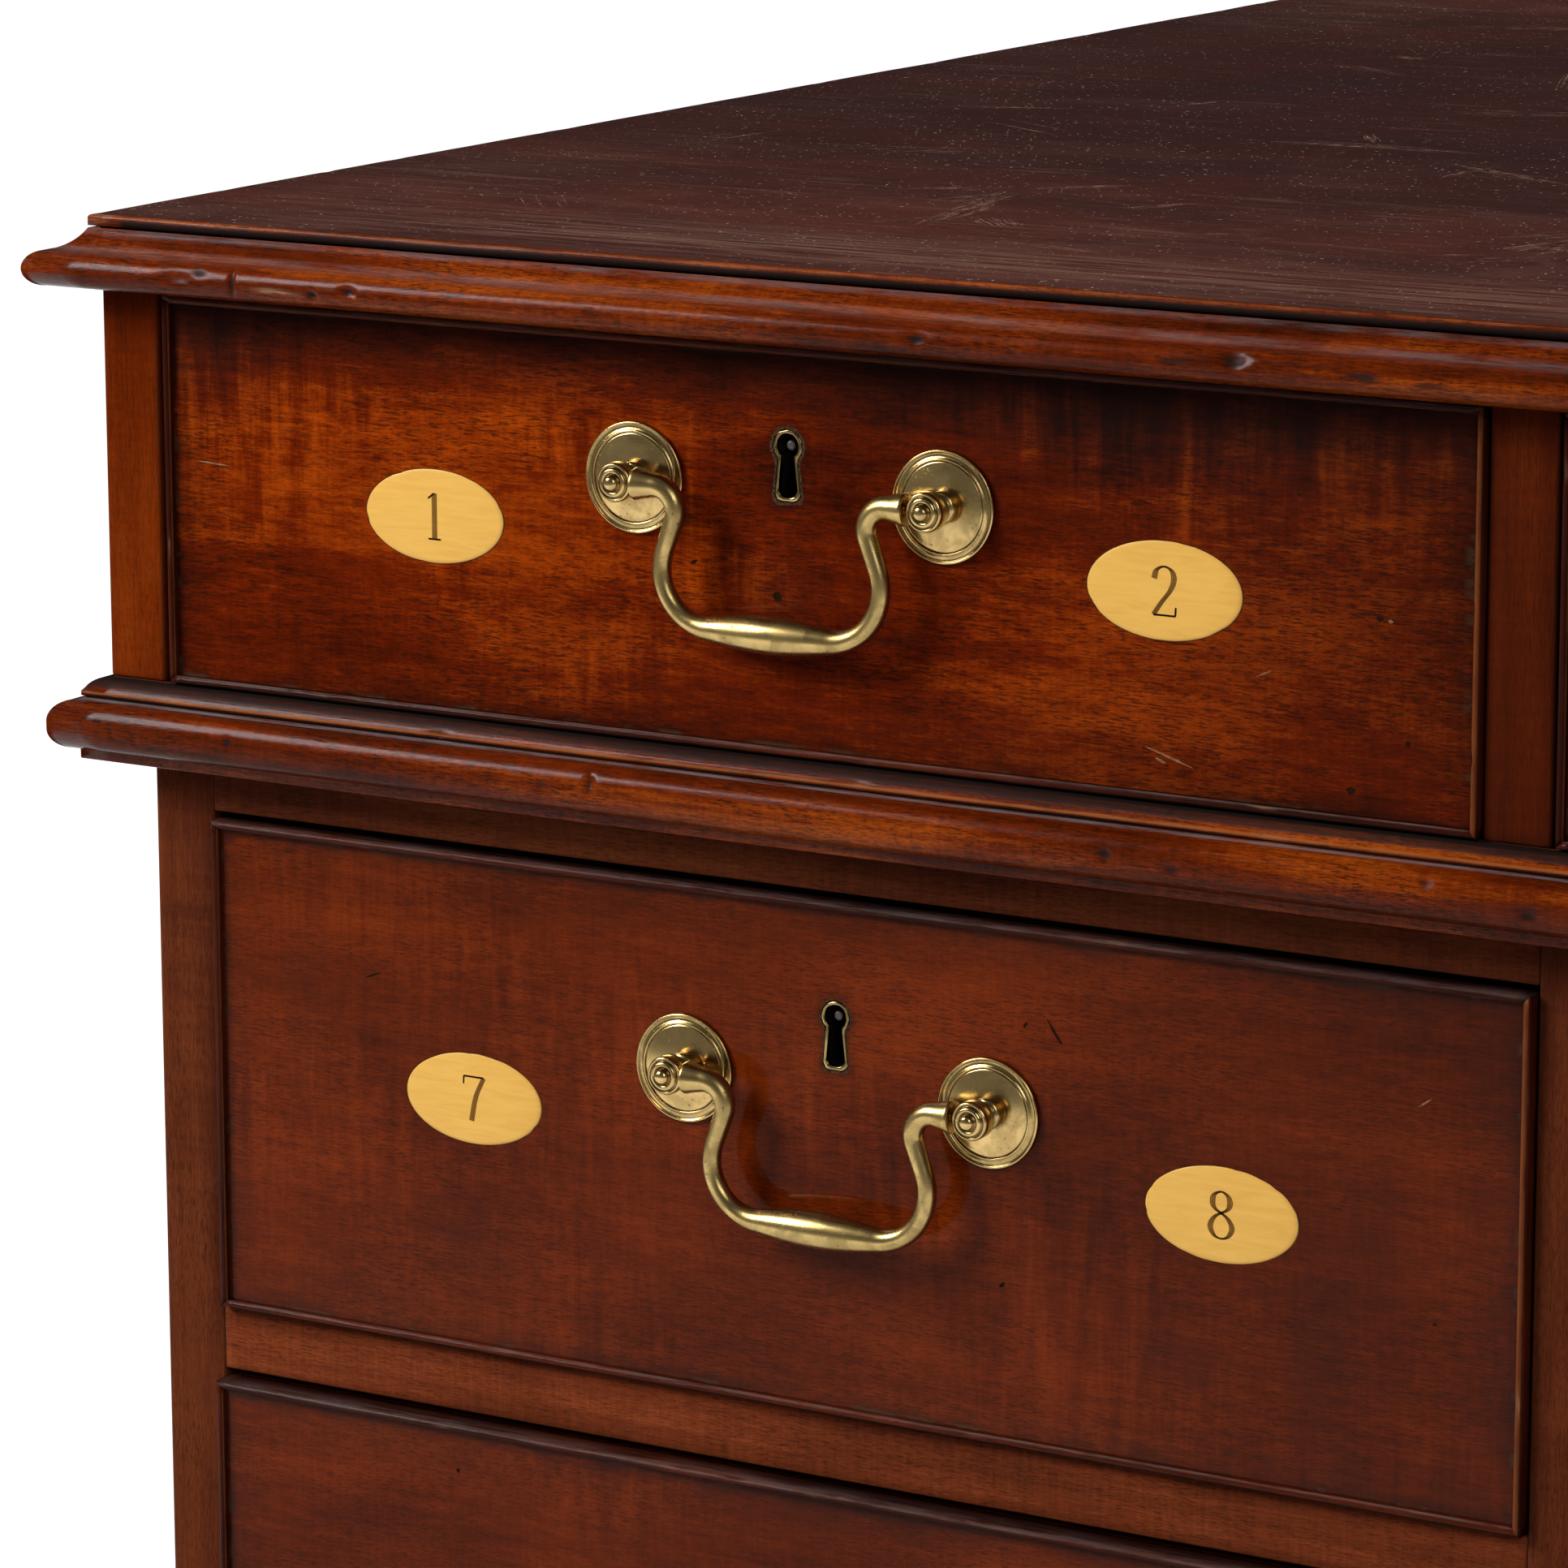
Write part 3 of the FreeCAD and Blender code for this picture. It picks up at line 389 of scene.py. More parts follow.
@dataclass(frozen=True)
class TopFinish:
    """The dull and scratched surface of the old top."""

    name: str
    ground: Colour = (0.072, 0.0180, 0.0122)
    shade: Colour = (0.040, 0.0110, 0.0086)
    scuff: Colour = (0.175, 0.086, 0.060)
    haze: Colour = (0.122, 0.050, 0.037)
    middle: Colour = (0.016, 0.0060, 0.0062)
    dust: Colour = (0.36, 0.28, 0.23)

    def material(self) -> Material:
        """Lay out blotches, streaks, scratches and dust specks.

        Returns:
            The finished material.
        """
        bench = NodeBench(self.name, True)
        blotch = bench.noise((5, 13, 13), 4, 0.6, 0.6)
        streaks = bench.noise((16, 330, 330), 5, 0.65, 0.6)
        haze = bench.noise((11, 22, 22), 5, 0.68, 0.4, shift=(2, 4, 0))
        bench.colour = bench.blend(bench.band(blotch, 0.35, 0.68), self.shade, self.ground)
        grit = bench.noise((190, 760, 760), 5, 0.75, 0.3)
        bench.cover(bench.band(grit, 0.50, 0.74, 0, 0.30), self.scuff)
        worn_band = bench.times(bench.attribute("dust"), bench.band(streaks, 0.42, 0.60))
        bench.cover(bench.times(worn_band, 0.85), self.scuff)
        bench.cover(bench.band(haze, 0.48, 0.72, 0, 0.42), self.haze)
        for number, (turn, long, fine, limit) in enumerate(((0.22, 16, 150, 0.63), (-0.5, 20, 230, 0.66),
                                                           (0.02, 9, 420, 0.64), (0.9, 26, 300, 0.68))):
            lines = bench.noise((long, fine, 1), 3, 0.6, 0.25, (0, 0, turn), (number * 3.1, 0.7, 0))
            zone = bench.noise((9, 12, 1), 2, shift=(number * 5.3, 2, 0))
            mask = bench.times(bench.band(lines, limit - 0.06, limit + 0.08), bench.band(zone, 0.44, 0.64))
            bench.cover(bench.times(mask, 0.55), self.scuff)
        # Darker in a band along the middle of the top's depth
        split = bench.node("ShaderNodeSeparateXYZ", {0: bench.place()})
        middle = bench.band(bench.math("ABSOLUTE", split.outputs["Y"]), 0.14, 0.40, 0.62, 0)
        bench.cover(middle, self.middle)
        specks = bench.noise((620, 620, 1), 1, 0.5)
        speck_mask = bench.times(bench.band(specks, 0.708, 0.752), bench.band(haze, 0.38, 0.60, 0.3, 1))
        bench.cover(speck_mask, self.dust)
        roughness = bench.plus(bench.band(blotch, 0.3, 0.7, 0.46, 0.60), bench.times(worn_band, 0.12))
        height = bench.plus(bench.times(blotch, 1.5), bench.times(streaks, 0.25))
        bench.set(Base_Color=bench.colour, Roughness=roughness, Normal=bench.bump(height, 0.4, 0.0005))
        bench.set(Specular_IOR_Level=0.015)
        return bench.material


@dataclass(frozen=True)
class BrassFinish:
    """Old lacquered brass, rubbed bright on the high places and brown in the hollows."""

    name: str
    bright: Colour = (0.58, 0.403, 0.162)
    aged: Colour = (0.37, 0.253, 0.098)
    tarnish: Colour = (0.040, 0.026, 0.010)
    gloss: float = 0.13

    def material(self) -> Material:
        """Lay out colour blotches, pits and fine scratches.

        Returns:
            The finished material.
        """
        bench = NodeBench(self.name)
        blotch = bench.noise((120, 120, 120), 4, 0.6, 0.5)
        pits = bench.noise((1100, 1100, 1100), 2, 0.5)
        lines = bench.noise((260, 260, 2600), 3, turn=(0.3, 0.5, 0))
        bench.colour = bench.blend(bench.band(blotch, 0.36, 0.66), self.bright, self.aged)
        pit_zone = bench.times(bench.band(pits, 0.64, 0.74), bench.band(blotch, 0.45, 0.65))
        bench.cover(pit_zone, self.tarnish)
        recess = bench.times(bench.attribute("edge"), bench.band(blotch, 0.25, 0.6, 0.55, 1))
        bench.cover(recess, self.tarnish)
        roughness = bench.plus(bench.band(blotch, 0.3, 0.7, self.gloss, self.gloss + 0.13),
                               bench.times(pit_zone, 0.25))
        height = bench.math("SUBTRACT", bench.times(lines, 0.25), pit_zone)
        bench.set(Base_Color=bench.colour, Roughness=roughness, Normal=bench.bump(height, 0.25, 0.0002))
        bench.set(Metallic=1)
        return bench.material


@dataclass(frozen=True)
class BoneFinish:
    """Yellowed bone with a faint figure."""

    name: str
    pale: Colour = (0.865, 0.492, 0.101)
    deep: Colour = (0.800, 0.430, 0.080)
    rim: Colour = (0.55, 0.27, 0.06)

    def material(self) -> Material:
        """Lay out the faint flow lines of the bone.

        Returns:
            The finished material.
        """
        bench = NodeBench(self.name)
        flow = bench.noise((60, 60, 420), 4, 0.6, 0.8, turn=(0, 0.25, 0))
        bench.colour = bench.blend(bench.band(flow, 0.35, 0.72), self.pale, self.deep)
        bench.cover(bench.times(bench.attribute("edge"), 0.35), self.rim)
        bench.set(Base_Color=bench.colour, Roughness=bench.band(flow, 0.3, 0.7, 0.30, 0.42))
        bench.set(Normal=bench.bump(flow, 0.08, 0.0002), Specular_IOR_Level=0.30)
        return bench.material


@dataclass(frozen=True)
class StainFinish:
    """A dull dark colouring, such as engraving ink, glue lines, and the black painted shade inside keyholes."""

    name: str
    first: Colour
    second: Colour
    scale: float = 900.0
    roughness: float = 0.6
    specular: float = 0.04

    def material(self) -> Material:
        """Lay out the stain's uneven strength.

        Returns:
            The finished material.
        """
        bench = NodeBench(self.name)
        spread = bench.noise((self.scale,) * 3, 3)
        bench.set(Base_Color=bench.blend(bench.band(spread, 0.3, 0.7), self.first, self.second))
        bench.set(Roughness=self.roughness, Specular_IOR_Level=self.specular, Normal=bench.bump(spread, 0.2, 0.0002))
        return bench.material


@dataclass(frozen=True)
class OakFinish:
    """Bare oak of the drawer linings, with its grain along the depth of the desk."""

    name: str
    pale: Colour = (0.33, 0.20, 0.095)
    deep: Colour = (0.19, 0.10, 0.042)
    pore: Colour = (0.05, 0.026, 0.012)
    grime: Colour = (0.08, 0.046, 0.026)

    def material(self) -> Material:
        """Lay out growth lines, pores and grime.

        Returns:
            The finished material.
        """
        bench = NodeBench(self.name)
        growth = bench.noise((55, 3.5, 55), 5, 0.62, 0.4)
        pores = bench.noise((1500, 55, 1500), 2)
        grime = bench.noise((9, 9, 9), 4)
        bench.colour = bench.blend(bench.band(growth, 0.35, 0.68), self.pale, self.deep)
        bench.cover(bench.band(pores, 0.58, 0.72, 0, 0.7), self.pore)
        bench.cover(bench.band(grime, 0.45, 0.75, 0, 0.45), self.grime)
        bench.set(Base_Color=bench.colour, Roughness=bench.band(growth, 0.3, 0.7, 0.62, 0.75))
        bench.set(Normal=bench.bump(pores, 0.3, 0.0003), Specular_IOR_Level=0.25)
        return bench.material


# The fronts' dark margins use arris colour and amount: grime, and on the frieze fronts also painted shade under the top
# and towards the right
FRIEZE_FRONT = WoodFinish(
    "mahogany_frieze_front", (0.030, 0.0028, 0.0005), (0.150, 0.0130, 0.0007), (0.40, 0.056, 0.0022), Arris.GRIMY,
    (0.008, 0.0035, 0.002), 0.85, cloud=1.05, streak=0.55, mottle=1.25, ray=0.16, pore=0.70, fibre=0.28, fleck=0.70,
    specular=0.006, polish=0.035)
PEDESTAL_FRONT = WoodFinish(
    "mahogany_pedestal_front", (0.040, 0.0050, 0.0008), (0.121, 0.0150, 0.0014), (0.229, 0.0318, 0.0032), Arris.GRIMY,
    (0.012, 0.0055, 0.004), 0.7, cloud=1, streak=0.4, mottle=0.6, ray=0.18, pore=0.50, fibre=0.30, fleck=0.45,
    specular=0.006, polish=0.105)
STILE = WoodFinish(
    "mahogany_stile", (0.046, 0.0060, 0.0008), (0.124, 0.0145, 0.0010), (0.225, 0.035, 0.003),
    arris_colour=(0.15, 0.045, 0.018), arris_amount=0.3, cloud=0.9, streak=0.6, ray=0.2, pore=0.35)
PANEL = WoodFinish(
    "mahogany_panel", (0.038, 0.0085, 0.0035), (0.092, 0.0195, 0.0075), (0.170, 0.040, 0.012),
    arris_colour=(0.16, 0.055, 0.022), arris_amount=0.4, cloud=0.8, streak=0.8, mottle=0.5, pore=0.5)
RAIL = WoodFinish(
    "mahogany_rail", (0.070, 0.0155, 0.0060), (0.178, 0.0360, 0.0120), (0.310, 0.074, 0.022),
    arris_colour=(0.15, 0.05, 0.02), arris_amount=0.3, cloud=0.8, streak=1.2, ray=0.3, pore=0.45)
MOULDING = WoodFinish(
    "mahogany_moulding", (0.030, 0.0040, 0.0007), (0.138, 0.0165, 0.0013), (0.36, 0.066, 0.0045),
    arris_colour=(0.34, 0.098, 0.024), arris_amount=0.75, cloud=1, streak=1.4, ray=0.2, pore=0.75, fleck=0.4,
    gloss=0.13, specular=0.07, dust_colour=(0.150, 0.122, 0.122))
BEAD = WoodFinish(
    "mahogany_cockbead", (0.012, 0.0026, 0.0018), (0.044, 0.0068, 0.0028), (0.125, 0.020, 0.005),
    arris_colour=(0.215, 0.058, 0.013), arris_amount=0.7, cloud=1, streak=1.1, pore=0.4, gloss=0.20, specular=0.05)
TOP = TopFinish("mahogany_worn_top")
BRASS = BrassFinish("aged_brass")
SATIN = BrassFinish("satin_brass", (0.50, 0.352, 0.134), (0.31, 0.216, 0.080), gloss=0.22)
LOCK_METAL = BrassFinish("lock_metal", (0.30, 0.24, 0.15), (0.16, 0.12, 0.07), (0.03, 0.02, 0.012), 0.4)
STEEL = BrassFinish("steel_pin", (0.13, 0.115, 0.10), (0.08, 0.07, 0.06), (0.03, 0.025, 0.02), 0.42)
BONE = BoneFinish("yellow_bone")
SCUFF = StainFinish("pale_scuff", (0.270, 0.140, 0.102), (0.095, 0.037, 0.027), 220, 0.7)
INK = StainFinish("engraving_ink", (0.070, 0.026, 0.005), (0.14, 0.058, 0.012))
WASH = StainFinish("engraving_wash", (0.40, 0.195, 0.042), (0.28, 0.125, 0.026))
PALE_MARK = StainFinish("pale_scratch", (0.30, 0.150, 0.070), (0.17, 0.070, 0.030), 500, 0.7)
DARK_MARK = StainFinish("dark_mark", (0.010, 0.0040, 0.0022), (0.026, 0.0095, 0.0045), 500, 0.6, 0.01)
CRUST = StainFinish("old_filler", (0.012, 0.006, 0.004), (0.090, 0.045, 0.022), 1300, 0.8)
GLUE = StainFinish("dark_glue_line", (0.020, 0.006, 0.002), (0.110, 0.030, 0.006), 260)
KEYHOLE_SHADE = StainFinish("keyhole_painted_shade", (0.004, 0.003, 0.0025), (0.010, 0.006, 0.005), 300, 0.8)
OAK = OakFinish("bare_oak_lining")


Finish = WoodFinish | TopFinish | BrassFinish | BoneFinish | StainFinish | OakFinish


@cache
def stock(finish: Finish) -> Material:
    """The one material of a finish, laid out the first time it is asked for."""
    return finish.material()


# Mesh making


@dataclass
class Dent:
    """A knock in a moulding or bead.

    Attributes:
        along: place along the length, from its middle, in mm.
        across: place across the profile, as (outward, up).
        length: half length of the knock in mm.
        width: half width of the knock in mm.
        depth: how deep it goes, in mm.
        shade: above zero shows bare wood, below zero a black bruised place.
    """

    along: float
    across: Pair
    length: float
    width: float
    depth: float
    shade: float


def quads(rows: int, count: int, closed: bool = False) -> list[list[int]]:
    """Faces between loops of points that follow each other.

    Args:
        rows: number of loops.
        count: points in each loop.
        closed: whether the last loop joins the first.

    Returns:
        The corner numbers of each face.
    """
    faces = []
    for row in range(rows if closed else rows - 1):
        start, after = row * count, (row + 1) % rows * count
        for i in range(count):
            j = (i + 1) % count
            faces.append([start + i, start + j, after + j, after + i])
    return faces


class Shell:
    """Collects the points and faces of one piece, with the attributes that its finishes read."""

    def __init__(self, name: str) -> None:
        """Start an empty piece; the name also seeds its chance values.

        Args:
            name: name of the piece.
        """
        self.name = name
        self.chance = random.Random(name)
        self.points: list[np.ndarray] = []
        self.faces: list[list[int]] = []
        self.finish_of: list[int] = []
        self.smooth: list[bool] = []
        self.values: dict[str, list[np.ndarray]] = {"grain": [], "edge": [], "dust": [], "chip": []}
        self.count = 0

    def add(self, points: np.ndarray, faces: Sequence[Sequence[int]], finish: int = 0, smooth: bool = True,
            grain: Optional[np.ndarray] = None, **values: np.ndarray) -> None:
        """Add points and faces.

        Args:
            points: positions in mm.
            faces: corner numbers, counted from this call's first point.
            finish: number of the finish in the piece's list.
            smooth: whether the faces are shaded smooth.
            grain: grain coordinates in mm; the positions if left out.
            values: edge, dust and chip for each point; zero if left out.
        """
        points = np.asarray(points, float)
        self.points.append(points)
        self.faces += [[corner + self.count for corner in face] for face in faces]
        self.finish_of += [finish] * len(faces)
        self.smooth += [smooth] * len(faces)
        self.values["grain"].append((points if grain is None else np.asarray(grain, float)) * MM)
        for key in ("edge", "dust", "chip"):
            self.values[key].append(np.asarray(values.get(key, np.zeros(len(points))), float))
        self.count += len(points)

    def offset(self) -> np.ndarray:
        """A chance place in the tree for one board's grain, in mm."""
        return np.array([self.chance.uniform(-4000, 4000) for _ in range(3)])

    def board(self, low: Point, high: Point, along: Axis, finish: int = 0, rounding: float = 0.7, rim: float = 5.0,
              shade: float = 0.0) -> None:
        """A straight board with eased arrises.

        Args:
            low: lowest corner in mm.
            high: highest corner in mm.
            along: the way its grain runs.
            finish: number of the finish.
            rounding: radius of its arrises in mm.
            rim: how far age reaches in from an arris, in mm.
            shade: painted shade, how much darker this board is than its neighbours, from 0 to 1.
        """
        ticks, ease = [], []
        for start, end in zip(low, high):
            size = end - start
            round_here, rim_here = min(rounding, size * 0.2), min(rim, size * 0.4)
            ease.append(round_here)
            ticks.append([start, start + round_here, start + rim_here, end - rim_here, end - round_here, end])
        last = 5
        keys = [key for key in product(range(last + 1), repeat=3) if {0, last} & set(key)]
        numbers = {key: number for number, key in enumerate(keys)}
        pulls = (0.0, 0.0, 1 - 1 / math.sqrt(2), 1 - 1 / math.sqrt(3))
        points, edge, faces = [], [], []
        for key in keys:
            ends = [{0: 1, last: -1}.get(index, 0) for index in key]
            outer = sum(map(abs, ends))
            pull = pulls[outer]
            points.append([ticks[axis][key[axis]] + pull * ease[axis] * ends[axis] for axis in range(3)])
            near = any(index in (1, last - 1) for index in key)
            edge.append(1.0 if outer > 1 else 0.7 if near else 0.0)
        for axis, side, i, j in product(range(3), (0, last), range(last), range(last)):
            loop = []
            for di, dj in ((0, 0), (1, 0), (1, 1), (0, 1)):
                place = [0, 0, 0]
                place[axis], place[(axis + 1) % 3], place[(axis + 2) % 3] = side, i + di, j + dj
                loop.append(numbers[tuple(place)])
            faces.append(loop if side == last else loop[::-1])
        order = [along.value] + [axis for axis in range(3) if axis != along.value]
        grain = np.array(points)[:, order] + self.offset()
        self.add(np.array(points), faces, finish, True, grain, edge=np.array(edge), chip=np.full(len(points), -shade))

    def sweep(self, outline: Sequence[Pair], middle: Point, along: Point, outward: Point, up: Point, length: float,
              step: float, finish: int = 0, ages: Optional[Callable[[Pair], Point]] = None,
              dents: Sequence[Dent] = (), waver: float = 0.0, margin: float = 4.0, fine: bool = False) -> None:
        """A moulded length with mitred ends.

        Args:
            outline: closed profile as (outward, up) pairs in mm.
            middle: middle of the length, where outward and up are zero.
            along: direction of the length.
            outward: direction that the profile reaches.
            up: direction of the profile's height.
            length: length at outward zero, in mm.
            step: distance between cross sections, in mm.
            finish: number of the finish.
            ages: gives (edge, dust, chip) for a profile point.
            dents: knocks to press in.
            waver: unevenness of the hand-worked surface, in mm.
            margin: how far inside the end the last plain cross section is.
            fine: whether cross sections are set closer at the knocks.
        """
        profile = np.array(outline, float)
        count = len(profile)
        following, leading = np.roll(profile, -1, 0), np.roll(profile, 1, 0)
        tangent = following - leading
        tangent /= np.linalg.norm(tangent, axis=1)[:, None]
        area = 0.5 * np.sum(profile[:, 0] * following[:, 1] - following[:, 0] * profile[:, 1])
        normal = np.stack([tangent[:, 1], -tangent[:, 0]], 1) * (1 if area > 0 else -1)
        half = length / 2
        inner = np.linspace(-(half - margin), half - margin, max(2, int((length - 2 * margin) / step) + 1))
        near = [dent.along + dent.length * np.linspace(-1.8, 1.8, 13) for dent in dents if fine]
        if near:
            inner = np.unique(np.clip(np.concatenate([inner] + near), margin - half, half - margin).round(1))
        stations = [-half - profile[:, 0]] + [np.full(count, place) for place in inner] + [half + profile[:, 0]]
        a, n, u = (np.array(vector, float) for vector in (along, outward, up))
        girth = np.concatenate([[0], np.cumsum(np.linalg.norm(following - profile, axis=1))[:-1]])
        edge_here, dust_here, chip_and_shade_here = np.array([ages(tuple(point)) if ages else ZERO for point in profile]).T
        offset, seed = self.offset(), self.chance.uniform(0, 900)
        points, grain, edge, dust, chip = [], [], [], [], []
        for places in stations:
            # The profile's third age values hold painted shade on the waist moulding and the beads
            section, bare = profile.copy(), chip_and_shade_here.copy()
            if waver:
                push = np.array([noise.noise(Vector((places[i] * 0.012, seed, girth[i] * 0.05))) for i in range(count)])
                section += normal * ((push - 0.8) * waver)[:, None]
            for dent in dents:
                reach = ((places - dent.along) / dent.length) ** 2
                reach = reach + np.sum(((profile - dent.across) / dent.width) ** 2, 1)
                press = np.exp(-reach * 1.6)
                section -= normal * (press * dent.depth)[:, None]
                bare += np.clip(press * 1.6 - 0.28, 0, 1) * dent.shade
            spot = np.array(middle) + places[:, None] * a + section[:, :1] * n + section[:, 1:] * u
            points.append(spot)
            grain.append(np.stack([places, girth, np.zeros(count)], 1) + offset)
            edge.append(edge_here)
            dust.append(dust_here)
            chip.append(np.clip(bare, -1, 1))
        faces = quads(len(stations), count)
        final = (len(stations) - 1) * count
        faces.append(list(range(count))[::-1])
        faces.append([final + i for i in range(count)])
        if np.dot(np.cross(n, u), a) * area < 0:
            faces = [face[::-1] for face in faces]
        joined = {"edge": np.concatenate(edge), "dust": np.concatenate(dust), "chip": np.concatenate(chip)}
        self.add(np.concatenate(points), faces, finish, True, np.concatenate(grain), **joined)

    def lathe(self, profile: Sequence[Pair], finish: int = 0, segments: int = 40,
              recess: Optional[Sequence[float]] = None) -> None:
        """A turned form round the Y axis, with its outer end towards -Y.

        Args:
            profile: (radius, distance out of the face) pairs in mm, from the back to the front; the first and the
                last radius are zero.
            finish: number of the finish.
            segments: number of flats round the axis.
            recess: how much tarnish each profile point keeps.
        """
        points, edge, rings = [], [], []
        recess = list(recess) if recess else [0] * len(profile)
        for (radius, out), tarnish in zip(profile, recess):
            number = 1 if radius == 0 else segments
            rings.append((len(points), number))
            for k in range(number):
                angle = 2 * math.pi * k / segments
                points.append((radius * math.cos(angle), -out, radius * math.sin(angle)))
                edge.append(tarnish)
        faces = []
        for (start, number), (after, number_after) in zip(rings, rings[1:]):
            for k in range(segments):
                quad = [start + k % number, start + (k + 1) % number,
                        after + (k + 1) % number_after, after + k % number_after]
                faces.append(list(dict.fromkeys(quad)))
        self.add(np.array(points), faces, finish, True, edge=np.array(edge))

    def ring_wall(self, loops: Sequence[np.ndarray], finish: int = 0, closed: bool = False, smooth: bool = False,
                  **values: Sequence[float]) -> None:
        """Faces between loops of equally many points.

        Args:
            loops: rows of points, each a closed loop.
            finish: number of the finish.
            closed: whether the last loop joins the first.
            smooth: whether the faces are shaded smooth.
            values: one attribute value for each loop.
        """
        count = len(loops[0])
        faces = quads(len(loops), count, closed)
        spread = {key: np.repeat(np.asarray(amounts, float), count) for key, amounts in values.items()}
        self.add(np.concatenate(loops), faces, finish, smooth, **spread)

    def fill(self, loops: Sequence[np.ndarray], outward: Point, finish: int = 0, **values: Sequence[float]) -> None:
        """A flat face between an outer loop and any holes.

        Args:
            loops: the outer loop first, then the holes.
            outward: direction that the face looks.
            finish: number of the finish.
            values: one attribute value for each loop, or one for each of its points.
        """
        work = bmesh.new()
        marks = {key: [] for key in values}
        for number, loop in enumerate(loops):
            made = [work.verts.new(tuple(point)) for point in loop]
            for first, second in zip(made, made[1:] + made[:1]):
                work.edges.new((first, second))
            for key, amounts in values.items():
                marks[key] += list(np.broadcast_to(amounts[number], len(loop)))
        work.verts.index_update()
        bmesh.ops.triangle_fill(work, edges=work.edges[:], use_beauty=True, normal=Vector(outward))
        faces = []
        for face in work.faces:
            loop = [vertex.index for vertex in face.verts]
            faces.append(loop if face.normal.dot(Vector(outward)) > 0 else loop[::-1])
        work.free()
        spread = {key: np.array(amounts) for key, amounts in marks.items()}
        self.add(np.concatenate(loops), faces, finish, False, **spread)

    def mesh(self, finishes: Sequence[Finish]) -> Mesh:
        """Turn what was collected into a mesh in metres.

        Args:
            finishes: finishes in the order of their numbers.

        Returns:
            The mesh with its materials and attributes.
        """
        made = bpy.data.meshes.new(self.name)
        made.from_pydata((np.concatenate(self.points) * MM).tolist(), [], self.faces)
        made.polygons.foreach_set("material_index", self.finish_of)
        made.polygons.foreach_set("use_smooth", self.smooth)
        for finish in finishes:
            made.materials.append(stock(finish))
        for key, rows in self.values.items():
            joined = np.concatenate(rows)
            layer = made.attributes.new(key, "FLOAT_VECTOR" if key == "grain" else "FLOAT", "POINT")
            layer.data.foreach_set("vector" if key == "grain" else "value", joined.astype(np.float32).ravel())
        made.update()
        return made


def link_object(name: str, data: bpy.types.ID) -> bpy.types.Object:
    """A new object in the scene.

    Args:
        name: its name.
        data: mesh, curve, camera or lamp data.

    Returns:
        The object.
    """
    made = bpy.data.objects.new(name, data)
    bpy.context.scene.collection.objects.link(made)
    return made


def dress(node: str, finish: Finish) -> None:
    """Give a kept CAD node its finish.

    Args:
        node: name of the node.
        finish: what it is made of.
    """
    slots = frame["nodes"][node].data.materials
    slots.clear()
    slots.append(stock(finish))


def put(name: str, mesh: Mesh, body: str, replaces: Sequence[str] = ()) -> bpy.types.Object:
    """Show a finished mesh as a piece of the desk.

    Args:
        name: name of the piece.
        mesh: mesh in metres, in the frame of the desk.
        body: body that the piece moves with.
        replaces: CAD nodes that it stands for.

    Returns:
        The piece's object.
    """
    piece = link_object(name, mesh)
    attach(piece, body)
    if replaces:
        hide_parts(*replaces)
    LOG.info("%s rides on %s", name, body)
    return piece


def arc(centre: Pair, radius: float, start: float, end: float, steps: int) -> list[Pair]:
    """Points on a circular arc, angles in degrees."""
    angles = np.radians(np.linspace(start, end, steps))
    return [(centre[0] + radius * math.cos(angle), centre[1] + radius * math.sin(angle)) for angle in angles]


def ellipse(width: float, height: float, steps: int) -> np.ndarray:
    """Points of an upright ellipse about zero, anticlockwise."""
    angles = np.linspace(0, 2 * math.pi, steps, endpoint=False)
    return np.stack([np.cos(angles) * width / 2, np.sin(angles) * height / 2], 1)


def hollow(start: Pair, end: Pair, sag: float, steps: int) -> list[Pair]:
    """Points of a shallow hollow between two places, sunk by the sag in its middle.

    Args:
        start: first place, as (outward, up).
        end: last place.
        sag: depth in the middle, in mm.
        steps: number of points.

    Returns:
        The points, from start to end.
    """
    chord = np.subtract(end, start)
    across = np.array([-chord[1], chord[0]]) / np.linalg.norm(chord)
    share = np.linspace(0, 1, steps)[:, None]
    points = np.array(start) + chord * share + across * (4 * share * (1 - share) * sag)
    return [tuple(point) for point in points.tolist()]


# Mouldings


@dataclass
class Moulding:
    """A moulding round a rectangle: its place, profile and knocks."""

    width: float
    depth: float
    low: float
    outline: list[Pair]
    middle_x: float = 0.0
    ages: Optional[Callable[[Pair], Point]] = None
    dents: list[Dent] = field(default_factory=list)
    step: float = 4.0
    waver: float = 0.12

    def add_to(self, shell: Shell, finish: int = 0) -> None:
        """Add the four mitred lengths to a piece.

        Args:
            shell: piece that receives them.
            finish: number of the finish.
        """
        x, half_w, half_d = self.middle_x, self.width / 2, self.depth / 2
        lengths = (((x, -half_d, self.low), (1, 0, 0), (0, -1, 0), self.width, True),
                   ((x, half_d, self.low), (-1, 0, 0), (0, 1, 0), self.width, False),
                   ((x - half_w, 0, self.low), (0, -1, 0), (-1, 0, 0), self.depth, False),
                   ((x + half_w, 0, self.low), (0, 1, 0), (1, 0, 0), self.depth, False))
        for middle, along, outward, length, seen in lengths:
            knocks = self.dents if seen else self.chance_dents(shell, length)
            step = self.step if seen else 9.0
            shell.sweep(self.outline, middle, along, outward, (0, 0, 1), length, step, finish, self.ages, knocks,
                        self.waver, fine=seen)

    def chance_dents(self, shell: Shell, length: float) -> list[Dent]:
        """A few knocks on a length that the picture doesn't show.

        Args:
            shell: piece that gives the chance values.
            length: the length in mm.

        Returns:
            The knocks.
        """
        reach, pick = max(self.outline), shell.chance.uniform
        return [Dent(pick(-length / 2, length / 2), reach, pick(6, 12), 4, pick(0.2, 0.5), pick(-0.7, 0.2))
                for _ in range(int(length / 260))]


# Carcase


